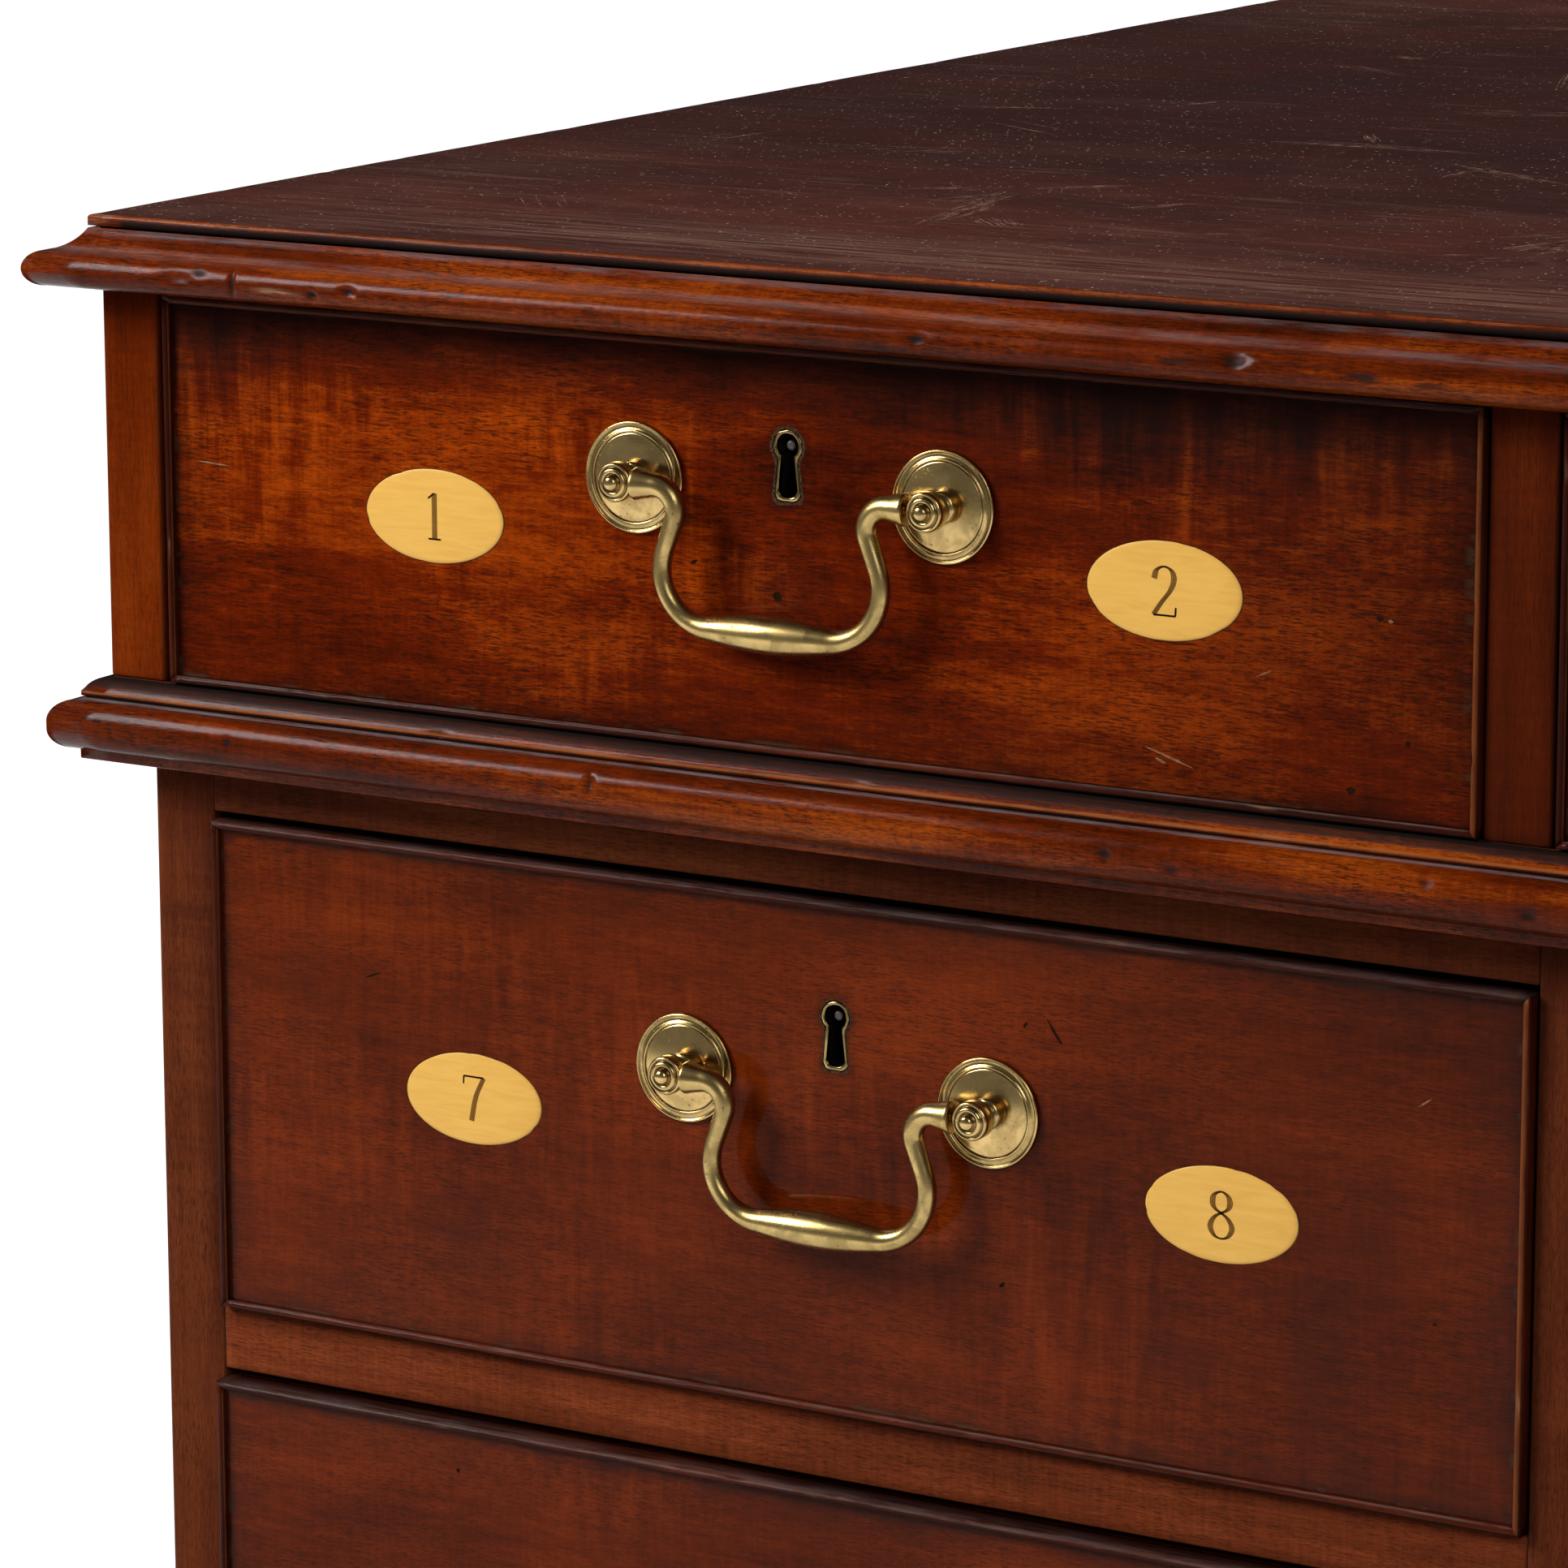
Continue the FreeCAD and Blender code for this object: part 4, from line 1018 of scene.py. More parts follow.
@dataclass
class Carcase:
    """The parts of the desk that stand still: frieze, pedestals, mouldings, plinths and top."""

    frieze_width: float = 1547.0
    frieze_depth: float = 940.0
    frieze_end: float = 20.0
    partition: float = 20.0
    spine: float = 18.0
    centre_bay: float = 600.0
    frieze_low: float = 645.0
    frieze_high: float = 764.0
    height: float = 785.0
    face_drop: float = 0.08
    scratch_drop: float = 0.04
    rim_stations: int = 240
    base_rail: float = 80.0
    dust_board: float = 9.0
    rim_reach: float = 2.6
    rim_height: float = 3.4
    pedestal_x: float = 524.75
    pedestal_width: float = 479.5
    pedestal_depth: float = 922.0
    pedestal_side: float = 21.5
    pedestal_high: float = 620.0
    bay_high: float = 605.0
    plinth_height: float = 75.0
    foot_gap: float = 20.0
    rail_levels: tuple[Pair, Pair] = ((247.0, 267.0), (430.0, 450.0))
    rail_depth: float = 70.0
    divider: float = 15.0
    bottom_board: float = 15.0
    stop: Point = (40.0, 25.0, 6.0)
    stop_room: float = 20.3

    def build(self) -> None:
        """Build every fixed piece."""
        self.top()
        self.top_edge()
        self.frieze()
        self.waist()
        for name, side in (("left", -1), ("right", 1)):
            self.pedestal(name, side)
        self.plinths()
        dress("door_hinge_leaves", BRASS)

    def top(self) -> None:
        """The worn top board: a slightly uneven surface with a rubbed rim and a dusty band along its edges; the rim's
        lower face and its underside are painted black, as painted shade of the gap under the rim.
        """
        shell = Shell("top_board_worn")
        half_w, half_d = self.frieze_width / 2 + self.rim_reach, self.frieze_depth / 2 + self.rim_reach
        face, low = self.height - self.face_drop, self.height - self.rim_height
        body = self.frieze_width / 2, self.frieze_depth / 2
        insets = (0, 0.35, 1.2, 14, 30, 56, 90)
        drops = (0.85, 0.25, 0, 0, 0, 0, 0)
        loops = [self.rim_loop(half_w - inset, half_d - inset, face - drop, inset < 5)
                 for inset, drop in zip(insets, drops)]
        under = self.rim_loop(half_w, half_d, low, False)
        shade = self.rim_loop(half_w, half_d, face - 1.75, False)
        inner = self.rim_loop(*body, low, False)
        foot = self.rim_loop(*body, self.frieze_high, False)
        # Painted shade: the rim's lower face and the underside are black, for the dark gap under the rim
        shell.ring_wall([foot, inner, under, shade] + loops[:3], 1, smooth=True,
                        edge=(0, 0, 0, 0, 0.7, 0.85, 0.1), chip=(-0.6, -1, -1, -0.95, -0.25, 0, -0.45))
        corner = np.hypot(shell.points[-1][:, 0] + half_w, shell.points[-1][:, 1] + half_d)
        shell.values["chip"][-1] = np.where(corner < 10, 0.42, shell.values["chip"][-1])
        shell.ring_wall(loops[2:], 0, smooth=True, dust=(0.10, 0.30, 1, 0.6, 0))
        inward = half_w - np.abs(shell.points[-1][:, 0])
        shell.values["dust"][-1] *= np.interp(inward, (40, 140), (0.25, 1))
        shell.fill([loops[-1]], (0, 0, 1), 0)
        shell.fill([foot], (0, 0, -1), 1)
        self.scuffs(shell, half_w, half_d)
        put("top_board_worn", shell.mesh([TOP, MOULDING, SCUFF]), "carcase", ["top_board"])

    def scuffs(self, shell: Shell, half_w: float, half_d: float) -> None:
        """Bundles of fine scratches on the top: those of the picture, and others by chance.

        Args:
            shell: the top.
            half_w: half of its width.
            half_d: half of its depth.
        """
        bundles = [
            ((-701, -92), (-655, -76), 4, 2.5), ((-562, -130), (-478, -129), 9, 4),
            ((-537, -97), (-521, -124), 5, 2), ((-478, -160), (-424, -192), 8, 4),
            ((-547, -378), (-565, -282), 7, 5), ((-565, -282), (-537, -258), 5, 3),
            ((-517, -314), (-500, -286), 6, 3), ((-394, -362), (-377, -352), 2, 0.6),
            ((-374, -342), (-366, -318), 12, 7), ((-572, -330), (-560, -296), 9, 8),
            ((-600, -300), (-574, -286), 5, 5)]
        pick = shell.chance.uniform
        for _ in range(120):
            x, y = pick(-half_w + 60, half_w - 60), pick(-half_d + 60, half_d - 60)
            angle, length = shell.chance.gauss(0.2, 0.8), pick(12, 75)
            end = (x + length * math.cos(angle), y + length * math.sin(angle))
            bundles.append(((x, y), end, shell.chance.randint(1, 6), pick(1, 12)))
        for start, end, count, spread in bundles:
            for _ in range(3 * count):
                self.scratch(shell, np.array(start, float), np.array(end, float), spread)

    def scratch(self, shell: Shell, start: np.ndarray, end: np.ndarray, spread: float) -> None:
        """One fine tapered scratch somewhere in a bundle.

        Args:
            shell: the top.
            start: start of the bundle.
            end: end of the bundle.
            spread: half width of the bundle in mm.
        """
        line, pick = end - start, shell.chance.uniform
        across = np.array([-line[1], line[0]]) / np.linalg.norm(line)
        first, last = sorted((pick(-0.05, 0.6), pick(0.4, 1.05)))
        side, bow = shell.chance.gauss(0, spread / 2), pick(-0.03, 0.03)
        width = pick(0.07, 0.34)
        rows, steps = [], 9
        for share in np.linspace(0, 1, steps):
            along = first + (last - first) * share
            centre = start + line * along + across * (side + bow * np.linalg.norm(line) * share * (1 - share) * 4)
            half = across * width * max(math.sin(math.pi * share), 0.08)
            rows += [centre - half, centre + half]
        points = np.column_stack([np.array(rows), np.full(2 * steps, self.height - self.scratch_drop)])
        shell.add(points, [[2 * i, 2 * i + 2, 2 * i + 3, 2 * i + 1] for i in range(steps - 1)], 2, False)

    def rim_loop(self, half_w: float, half_d: float, z: float, uneven: bool) -> np.ndarray:
        """Points round a rectangle, set unevenly inwards where the rim is worn.

        Args:
            half_w: half of its width.
            half_d: half of its depth.
            z: height of the loop.
            uneven: whether wear pulls the points in.

        Returns:
            The loop, anticlockwise from above.
        """
        corners = ((-half_w, -half_d), (half_w, -half_d), (half_w, half_d), (-half_w, half_d))
        points = []
        for number, (start, end) in enumerate(zip(corners, corners[1:] + corners[:1])):
            for k in range(self.rim_stations):
                share = k / self.rim_stations
                x, y = (start[axis] + (end[axis] - start[axis]) * share for axis in (0, 1))
                wear = 0.0
                if uneven:
                    wear = max(0, noise.noise(Vector((x * 0.018, y * 0.018, 7.0 + number)))) * 0.5
                    wear += max(0, noise.noise(Vector((x * 0.11, y * 0.11, 3))) - 0.25) * 0.7
                shrink = 1.0 - wear / max(half_w, half_d)
                points.append((x * shrink, y * shrink, z - wear * 0.35))
        return np.array(points)

    def top_edge(self) -> None:
        """The applied edge of the top: hollow above, round nose below."""
        nose = arc((11.6, 5.4), 5.4, -90, 90, 37)
        outline = [(0, 0)] + nose + hollow(nose[-1], (2.6, 17), 1.25, 11)[1:] + [(0, 17)]
        knocks = (
            (-733, (16.6, 6.2), 7, 2.6, 0.98, -0.25), (-726, (16.4, 8.4), 3.5, 1.8, 0.42, -0.9),
            (-714, (16.8, 6), 1.2, 4.5, 0.7, -0.9), (-700, (16.9, 4.6), 9, 1.3, 0.35, 0.7),
            (-694, (16.8, 3.9), 10, 0.9, 0.28, 0.6), (-685.8, (16.9, 4.1), 2.2, 1.8, 1.12, -1),
            (-672.9, (16.9, 6.2), 2.6, 1.8, 1.12, -0.9), (-671, (16.9, 5), 1.2, 1, 0.28, 0.9),
            (-484.6, (16.9, 6), 3.4, 1.9, 0.98, -1), (-387.6, (16.7, 7.8), 4.2, 3.4, 1.68, -0.8),
            (-405, (16.9, 6), 7, 1.2, 0.28, -0.8), (-349.3, (16.8, 5.7), 7.5, 1.8, 0.49, -0.9),
            (-455, (16.9, 4.6), 2.4, 1.2, 0.28, -0.7), (-590, (16.9, 6), 3, 1.4, 0.21, -0.5),
            (-545, (16.9, 5), 6, 1.2, 0.21, -0.5), (-330, (16.9, 4.8), 5, 1.4, 0.28, -0.6))
        shell = Shell("top_edge_moulded")
        Moulding(self.frieze_width, self.frieze_depth, self.frieze_high, outline,
                 ages=self.top_edge_age, dents=[Dent(*knock) for knock in knocks]).add_to(shell)
        put("top_edge_moulded", shell.mesh([MOULDING]), "carcase", ["top_edge_moulding"])

    @staticmethod
    def top_edge_age(point: Pair) -> Point:
        """Edge wear, dust and darkening on a point of the top edge's profile; part of the dust is a painted highlight
        line.

        Args:
            point: place as (outward, up).

        Returns:
            The three amounts.
        """
        outward, up = point
        if outward < 2.0:
            return ZERO
        # A grey-pink line where the hollow meets the nose: painted highlight, the reflection of a lamp, drawn as dust
        dust = max(0, 1.0 - abs(up - 11.6) / 1.2) * 0.6
        if up > 16.0:
            dust = 0.42
        return (0.45 if 3.0 < up < 8.5 and outward > 14 else 0, dust, 0)

    def frieze(self) -> None:
        """Ends, partitions, spine, base frame, dust boards and stops."""
        shell = Shell("frieze_boards")
        half_w, half_d, low, high = self.frieze_width / 2, self.frieze_depth / 2, self.frieze_low, self.frieze_high
        near, far = self.centre_bay / 2, self.centre_bay / 2 + self.partition
        rail_x, rail_y = half_w - self.base_rail, half_d - self.base_rail
        cross_near, cross_far = far - self.base_rail / 2, far + self.base_rail / 2
        base, panel = self.pedestal_high, low - self.dust_board
        inside, thick = half_w - self.frieze_end, self.spine / 2
        shell.board((-inside, -thick, low), (inside, thick, high), Axis.X, 1)
        shell.board((-cross_near, -rail_y, panel), (cross_near, rail_y, low), Axis.Y, 1)
        for side in (-1, 1):
            self.mirrored(shell, side, (inside, half_w), (-half_d, half_d), (low, high), Axis.Z, 0, 1.1)
            first, last = sorted((side * rail_y, side * half_d))
            shell.board((-half_w, first, base), (half_w, last, low), Axis.X, 1)
            self.mirrored(shell, side, (rail_x, half_w), (-rail_y, rail_y), (base, low), Axis.Y, 1)
            self.mirrored(shell, side, (cross_near, cross_far), (-rail_y, rail_y), (base, low), Axis.Y, 1)
            self.mirrored(shell, side, (cross_far, rail_x), (-rail_y, rail_y), (panel, low), Axis.Y, 1)
            for row in (-1, 1):
                depth = tuple(sorted((row * thick, row * half_d)))
                # The partitions are painted darker: painted shade, where the light falls off to the right of the frieze
                # drawers
                self.mirrored(shell, side, (near, far), depth, (low, high), Axis.Z, 0, 1, 0.35)
        end_bay = inside - far
        end_x = far + end_bay / 2
        for row in (-1, 1):
            for x, bay in ((-end_x, end_bay), (0, self.centre_bay), (end_x, end_bay)):
                self.stops(shell, x, bay, row * half_d, low, self.stop_room, row)
        put("frieze_boards", shell.mesh([STILE, PANEL]), "carcase", ["frieze_carcase"])

    @staticmethod
    def mirrored(shell: Shell, side: int, across: Pair, deep: Pair, high: Pair, along: Axis, finish: int,
                 rounding: float = 0.7, shade: float = 0.0) -> None:
        """A board on the left (-1) or the right (1) of the middle."""
        first, second = sorted((side * across[0], side * across[1]))
        shell.board((first, deep[0], high[0]), (second, deep[1], high[1]), along, finish, rounding, 5, shade)

    def stops(self, shell: Shell, x: float, bay: float, face: float, low: float, behind: float, row: int) -> None:
        """Two small blocks behind a drawer's front.

        Args:
            shell: piece that receives them.
            x: middle of the bay.
            bay: width of the bay.
            face: depth of the front's face.
            low: height that they stand on.
            behind: distance behind the face.
            row: -1 at the front of the desk, 1 at the back.
        """
        wide, deep, tall = self.stop
        for side in (-1, 1):
            middle = x + side * bay / 4
            y0, y1 = sorted((face - row * behind, face - row * (behind + deep)))
            shell.board((middle - wide / 2, y0, low), (middle + wide / 2, y1, low + tall), Axis.X, 1)

    def waist(self) -> None:
        """The moulding under the frieze: lip, round nose, quirk, strip and ovolo."""
        nose = arc((7.8, 9.8), 6.4, -90, 0, 19) + arc((7.8, 12.2), 6.4, 0, 90, 19)
        ovolo = arc((0.5, 18.9), 6.1, 22, 88, 8)
        outline = [(0, 0), (6.5, 0), (7, 0.5), (7, 3), (7.2, 3.4)] + nose
        outline += [(5.6, 18.7), (5.6, 19.3), (6.3, 19.4), (6.6, 19.7), (6.6, 20.4), (6.6, 21)]
        outline += ovolo[1:] + [(0, 25)]
        knocks = (
            (-764, (14.1, 11.2), 2, 1.6, 0.65, -0.9), (-720.8, (13.9, 12.7), 1.8, 1.5, 0.52, -1),
            (-756, (14.1, 10.4), 1.4, 1.2, 0.39, -0.8), (-593.9, (14, 13.6), 1.7, 3, 1.17, -0.55),
            (-610, (14.2, 11.2), 2.6, 1.8, 0.39, -0.8), (-426.7, (14.1, 11.6), 3, 2.4, 1.04, -1),
            (-406, (14.2, 9.5), 2.6, 2, 0.39, -0.7), (-300, (14.2, 9.8), 3.5, 2.6, 0.65, -0.9),
            (-330, (13.6, 14.4), 2.4, 2, 0.39, -0.5), (-650, (6.6, 20.6), 4, 1.6, 0.65, 0.5),
            (-510, (6.6, 20.6), 6, 1.4, 0.52, 0.6), (-380, (6.6, 20.4), 8, 1.4, 0.52, 0.5))
        shell = Shell("waist_moulded")
        Moulding(self.frieze_width, self.frieze_depth, self.pedestal_high, outline,
                 ages=self.waist_age, dents=[Dent(*knock) for knock in knocks]).add_to(shell)
        put("waist_moulded", shell.mesh([MOULDING]), "carcase", ["waist_moulding"])

    @staticmethod
    def waist_age(point: Pair) -> Point:
        """Edge wear, dust and painted shade on a point of the waist moulding's profile.

        Args:
            point: place as (outward, up).

        Returns:
            The three amounts.
        """
        outward, up = point
        edge, dust, painted_shade = ZERO
        if 20.3 < up < 21.9 and outward > 5.5:
            edge = 1.0
        elif 8.0 < up < 15.0 and outward > 12.0:
            edge = 0.3
        # Grey along the quirk: dust, and also a painted highlight line there
        if 17.6 < up < 19.0 and outward < 8.3:
            dust = 0.9
        # Painted shade: the ovolo's top is black for the dark gap under the drawers, and dark just below it
        if up > 24.2:
            painted_shade = -1.0
        elif up > 22.2:
            dust, painted_shade = 0.08, -0.8
        # Painted shade in the quirk below the strip
        if 19.2 < up < 20.0:
            painted_shade = -0.85
        return (edge, dust, painted_shade)

    def pedestal(self, name: str, side: int) -> None:
        """One pedestal's sides, top, bottom, divider, rails, dust boards and stops.

        Args:
            name: left or right.
            side: -1 or 1.
        """
        shell = Shell(f"{name}_pedestal_boards")
        middle, bay = side * self.pedestal_x, self.pedestal_width / 2 - self.pedestal_side
        half_d, thick = self.pedestal_depth / 2, self.divider / 2
        deep = self.rail_depth - half_d
        left, right = middle - bay, middle + bay
        for low, high in ((left - self.pedestal_side, left), (right, right + self.pedestal_side)):
            shell.board((low, -half_d, self.foot_gap), (high, half_d, self.pedestal_high), Axis.Z, 0, 1)
        # The top board is painted darker: painted shade under the waist moulding
        shell.board((left, -half_d, self.bay_high), (right, half_d, self.pedestal_high), Axis.X, 1, shade=0.4)
        floor = self.plinth_height
        shell.board((left, -half_d, floor - self.bottom_board), (right, half_d, floor), Axis.X, 1)
        shell.board((left, -thick, floor), (right, thick, self.bay_high), Axis.Z, 0)
        for low, high in self.rail_levels:
            shell.board((left, -half_d, low), (right, deep, high), Axis.X, 1)
            shell.board((left, deep, high - self.dust_board), (right, -thick, high), Axis.X, 0)
        for level, proud in ((floor, 1.4), (self.rail_levels[0][1], 4.8), (self.rail_levels[1][1], 1.4)):
            self.stops(shell, middle, 2 * bay, -half_d, level, self.stop_room - proud, -1)
        put(f"{name}_pedestal_boards", shell.mesh([PANEL, RAIL]), "carcase", [f"{name}_pedestal_carcase"])

    def plinths(self) -> None:
        """Both plinths with their hollow caps."""
        outline = [(0, 0), (12.2, 0), (13, 0.8), (13, 30), (13, 58.2), (12.2, 59)]
        outline += hollow((11.5, 59), (1.5, 72.5), 2.6, 9) + [(1.5, 74.4), (0.9, 75), (0, 75)]
        shell = Shell("plinths_moulded")
        for side in (-1, 1):
            Moulding(self.pedestal_width, self.pedestal_depth, 0, outline, side * self.pedestal_x,
                     ages=self.plinth_age, step=9).add_to(shell)
        put("plinths_moulded", shell.mesh([PANEL]), "carcase", ["plinths"])

    @staticmethod
    def plinth_age(point: Pair) -> Point:
        """Edge wear, dust and darkening on a point of the plinth's profile.

        Args:
            point: place as (outward, up).

        Returns:
            The three amounts.
        """
        outward, up = point
        worn = up < 1.5 or 57.0 < up < 59.5 and outward > 12.0
        return (0.9 if worn else 0, 0.5 if up > 74.0 else 0, 0)


# Engraved numerals


class Numerals:
    """Draws plain engraved numbers with thick upright and thin level strokes."""

    # Corners of each stroke as (across, up), in hundredths of the height
    STROKES: dict[str, list[list[tuple[int, int]]]] = {
        "0": [[(30, 100), (12, 88), (4, 50), (12, 12), (30, 0), (48, 12), (56, 50), (48, 88), (30, 100)]],
        "1": [[(30, 100), (30, 0)], [(14, 88), (30, 100)], [(14, 0), (46, 0)]],
        "2": [[(7, 74), (13, 92), (30, 100), (47, 92), (52, 74), (44, 52), (24, 26), (6, 0)], [(6, 0),
              (56, 0)], [(56, 0), (57, 18)]],
        "3": [[(9, 82), (18, 96), (30, 100), (45, 92), (49, 76), (42, 60), (24, 53)], [(24, 53), (46, 46), (55, 27),
              (46, 7), (28, 0), (12, 6), (5, 20)]],
        "4": [[(42, 100), (42, 0)], [(42, 100), (2, 28)], [(2, 28), (60, 28)], [(27, 0), (57, 0)]],
        "5": [[(12, 100), (52, 100)], [(12, 100), (10, 53)], [(10, 53), (22, 62), (36, 62), (52, 50), (55, 30),
              (46, 8), (28, 0), (12, 5), (5, 18)]],
        "6": [[(50, 92), (36, 100), (20, 92), (8, 66), (5, 34), (13, 8), (30, 0), (48, 9), (55, 31), (47, 52),
              (31, 59), (15, 52), (6, 36)]],
        "7": [[(5, 100), (57, 100)], [(57, 100), (36, 55), (24, 0)], [(5, 100), (4, 82)]],
        "8": [[(30, 100), (14, 92), (10, 76), (17, 62), (43, 46), (55, 25), (46, 6), (30, 0), (14, 6), (5, 25),
              (16, 46), (43, 62), (50, 77), (45, 92), (30, 100)]],
        "9": [[(10, 8), (24, 0), (40, 8), (52, 34), (55, 66), (47, 92), (30, 100), (12, 91), (5, 69), (13, 48),
              (29, 41), (45, 48), (54, 64)]],
    }

    def __init__(self, height: float = 13.5, thick: float = 1.75, thin: float = 0.32) -> None:
        """Set the height and stroke widths in mm."""
        self.height, self.thick, self.thin = height, thick, thin

    def ribbons(self, number: int) -> list[np.ndarray]:
        """Centre lines and widths of a number, centred on zero.

        Args:
            number: the number to draw.

        Returns:
            For each stroke an array of rows (x, y, width).
        """
        text = str(number)
        pitch = 0.66 * self.height
        start = -pitch * len(text) / 2 + 0.03 * self.height
        made = []
        for place, digit in enumerate(text):
            for stroke in self.STROKES[digit]:
                line = self.smooth(np.array(stroke) / 100) * self.height
                line[:, 0] += start + place * pitch
                line[:, 1] -= self.height / 2
                step = np.gradient(line, axis=0)
                upright = np.abs(step[:, 1]) / np.maximum(np.hypot(step[:, 0], step[:, 1]), TINY)
                slope = 0.35 if digit == "4" and stroke[0] == (42, 100) and stroke[1][0] < 10 else 1.0
                width = self.thin + (self.thick - self.thin) * upright ** 2.2 * slope
                if len(stroke) == 2 and abs(stroke[0][1] - stroke[1][1]) < 25:
                    width = np.full(len(line), self.thin * 1.2)
                made.append(np.column_stack([line, width]))
        return made

    @staticmethod
    def smooth(corners: np.ndarray) -> np.ndarray:
        """A smooth line through the corners.

        Args:
            corners: rows (x, y).

        Returns:
            Points of the line.
        """
        if len(corners) == 2:
            return corners[0] + (corners[1] - corners[0]) * np.linspace(0, 1, 6)[:, None]
        closed = np.allclose(corners[0], corners[-1])
        before = corners[-2] if closed else 2 * corners[0] - corners[1]
        after = corners[1] if closed else 2 * corners[-1] - corners[-2]
        padded = np.vstack([before, corners, after])
        rows = []
        for p0, p1, p2, p3 in zip(padded, padded[1:], padded[2:], padded[3:]):
            for t in np.linspace(0, 1, 7, endpoint=False):
                rows.append(0.5 * (2 * p1 + (p2 - p0) * t + (2 * p0 - 5 * p1 + 4 * p2 - p3) * t ** 2
                                   + (3 * p1 - p0 - 3 * p2 + p3) * t ** 3))
        return np.vstack([rows, corners[-1:]])


# Drawers


@dataclass
class Handle:
    """Rosettes, posts, nuts, bail, thread escutcheon and lock of a drawer, round the middle of its handle."""

    spacing: float = 101.0
    rosette: float = 16.2
    axis_out: float = 9.6
    front: float = 20.0
    bail_drop: float = 39.6
    bail_end: float = 44.3
    shoulder: float = 38.2
    small_bend: float = 7.0
    large_bend: float = 16.0
    lean: float = 20.0
    hinge_pin: float = 1.6
    hinge_pin_length: float = 4.0
    key_pin: float = 1.6
    lock_half: float = 30.0
    lock_depth: float = 9.0
    lock_below: float = 26.0
    lock_above: float = 10.0
    keyhole_rise: dict[Row, float] = field(default_factory=lambda: {Row.FRIEZE: 12.9, Row.PEDESTAL: 21.4})

    def post_mesh(self) -> Mesh:
        """One rosette with its turned post and nut, on a face at Y 0.

        Returns:
            The mesh.
        """
        shell = Shell("rosette_and_post")
        edge = self.rosette
        rim = ((0.2, 0), (0, 0.2), (0, 0.95), (0.2, 1.3), (0.5, 1.4), (0.8, 1.25), (0.95, 1), (1.1, 0.92),
               (2.4, 1.12), (2.5, 1.3), (2.7, 1.48), (2.95, 1.5), (3.15, 1.38), (3.25, 1.08), (3.4, 1.05), (3.5, 1.3))
        plate = [(0, 0)] + [(edge - inset, out) for inset, out in rim]
        grime = [0, 0.3, 0.4, 0.1, 0, 0, 0, 0.2, 0.35, 0.1, 0.2, 0, 0, 0.1, 0.9, 0.9, 0.1]
        for radius in np.linspace(edge - 3.8, 4.4, 12):
            plate.append((float(radius), 1.33 + 0.0074 * ((edge - 3.8) ** 2 - radius ** 2)))
            grime.append(0)
        plate.append((0, plate[-1][1]))
        grime[-1:] = [0.7, 0.9]
        shell.lathe(plate, 0, 64, grime)
        post = [
            (0, 2), (4.2, 2), (4.7, 2.4), (4.7, 2.8), (4.2, 3.2), (3.4, 3.5), (3.1, 3.9), (3.1, 4.7), (3.4, 5.2),
            (4.5, 5.4), (5, 5.9), (5, 6.3), (4.6, 6.6), (5.2, 6.9), (5.7, 7.4), (5.75, 9.4), (5.7, 11.4),
            (5.4, 12), (4.9, 12.15), (4.75, 11.9), (4.45, 11.9), (4.3, 12.3), (4.1, 12.7), (3.6, 12.9), (2.9, 12.9),
            (2.75, 12.55), (2.45, 12.55), (2.3, 13.2), (2, 14), (1.4, 14.45), (0.7, 14.6), (0, 14.65)]
        tarnish = [0.9, 0.9, 0, 0, 0.2, 0.6, 0.5, 0.5, 0.6, 0.2, 0, 0, 0.7, 0.1, 0, 0, 0, 0, 0.1, 0.9,
                   0.9, 0.1, 0, 0, 0.1, 0.9, 0.9, 0.2, 0, 0, 0, 0]
        shell.lathe(post, 0, 36, tarnish)
        back = -self.front
        shell.lathe([(0, back - 3.5), (1.7, back - 3.5), (2, back - 3.2), (2, 0.1), (0, 0.1)], 0, 16)
        nut = [(0, back - 3.4), (4.4, back - 3.4), (4.9, back - 2.9), (4.9, back - 0.05), (0, back)]
        shell.lathe(nut, 0, 6)
        return shell.mesh([BRASS])

    @staticmethod
    def keyhole_loop(margin: float, steps: int = 14) -> np.ndarray:
        """The keyhole's outline grown by a margin, as (x, z) about the middle of its round head.

        Args:
            margin: growth in mm.
            steps: half the points of the head.

        Returns:
            The outline, anticlockwise from the front.
        """
        radius, neck, foot, bottom = 3.5 + margin, 2.05 + margin * 0.95, 3.05 + margin * 0.95, -14.6 - margin
        drop = -math.sqrt(max(radius ** 2 - neck ** 2, 0.1))
        start = math.atan2(drop, neck)
        head = [(radius * math.cos(a), radius * math.sin(a)) for a in np.linspace(start, math.pi - start, steps * 2)]
        left = [(-neck - 0.15, drop - 1.6), (-foot + 0.15, bottom + 3), (-foot, bottom + 1.8),
                (-foot + 0.9, bottom + 0.5)]
        base = [(-foot + 2, bottom), (foot - 2, bottom)]
        right = [(-x, z) for x, z in reversed(left)]
        return np.array(head + left + base + right)

    def keyhole_ring(self, margin: float, y: float, rise: float) -> np.ndarray:
        """The keyhole's grown outline at a depth, with its round head at a height."""
        flat = self.keyhole_loop(margin)
        return np.column_stack([flat[:, 0], np.full(len(flat), y), flat[:, 1] + rise])

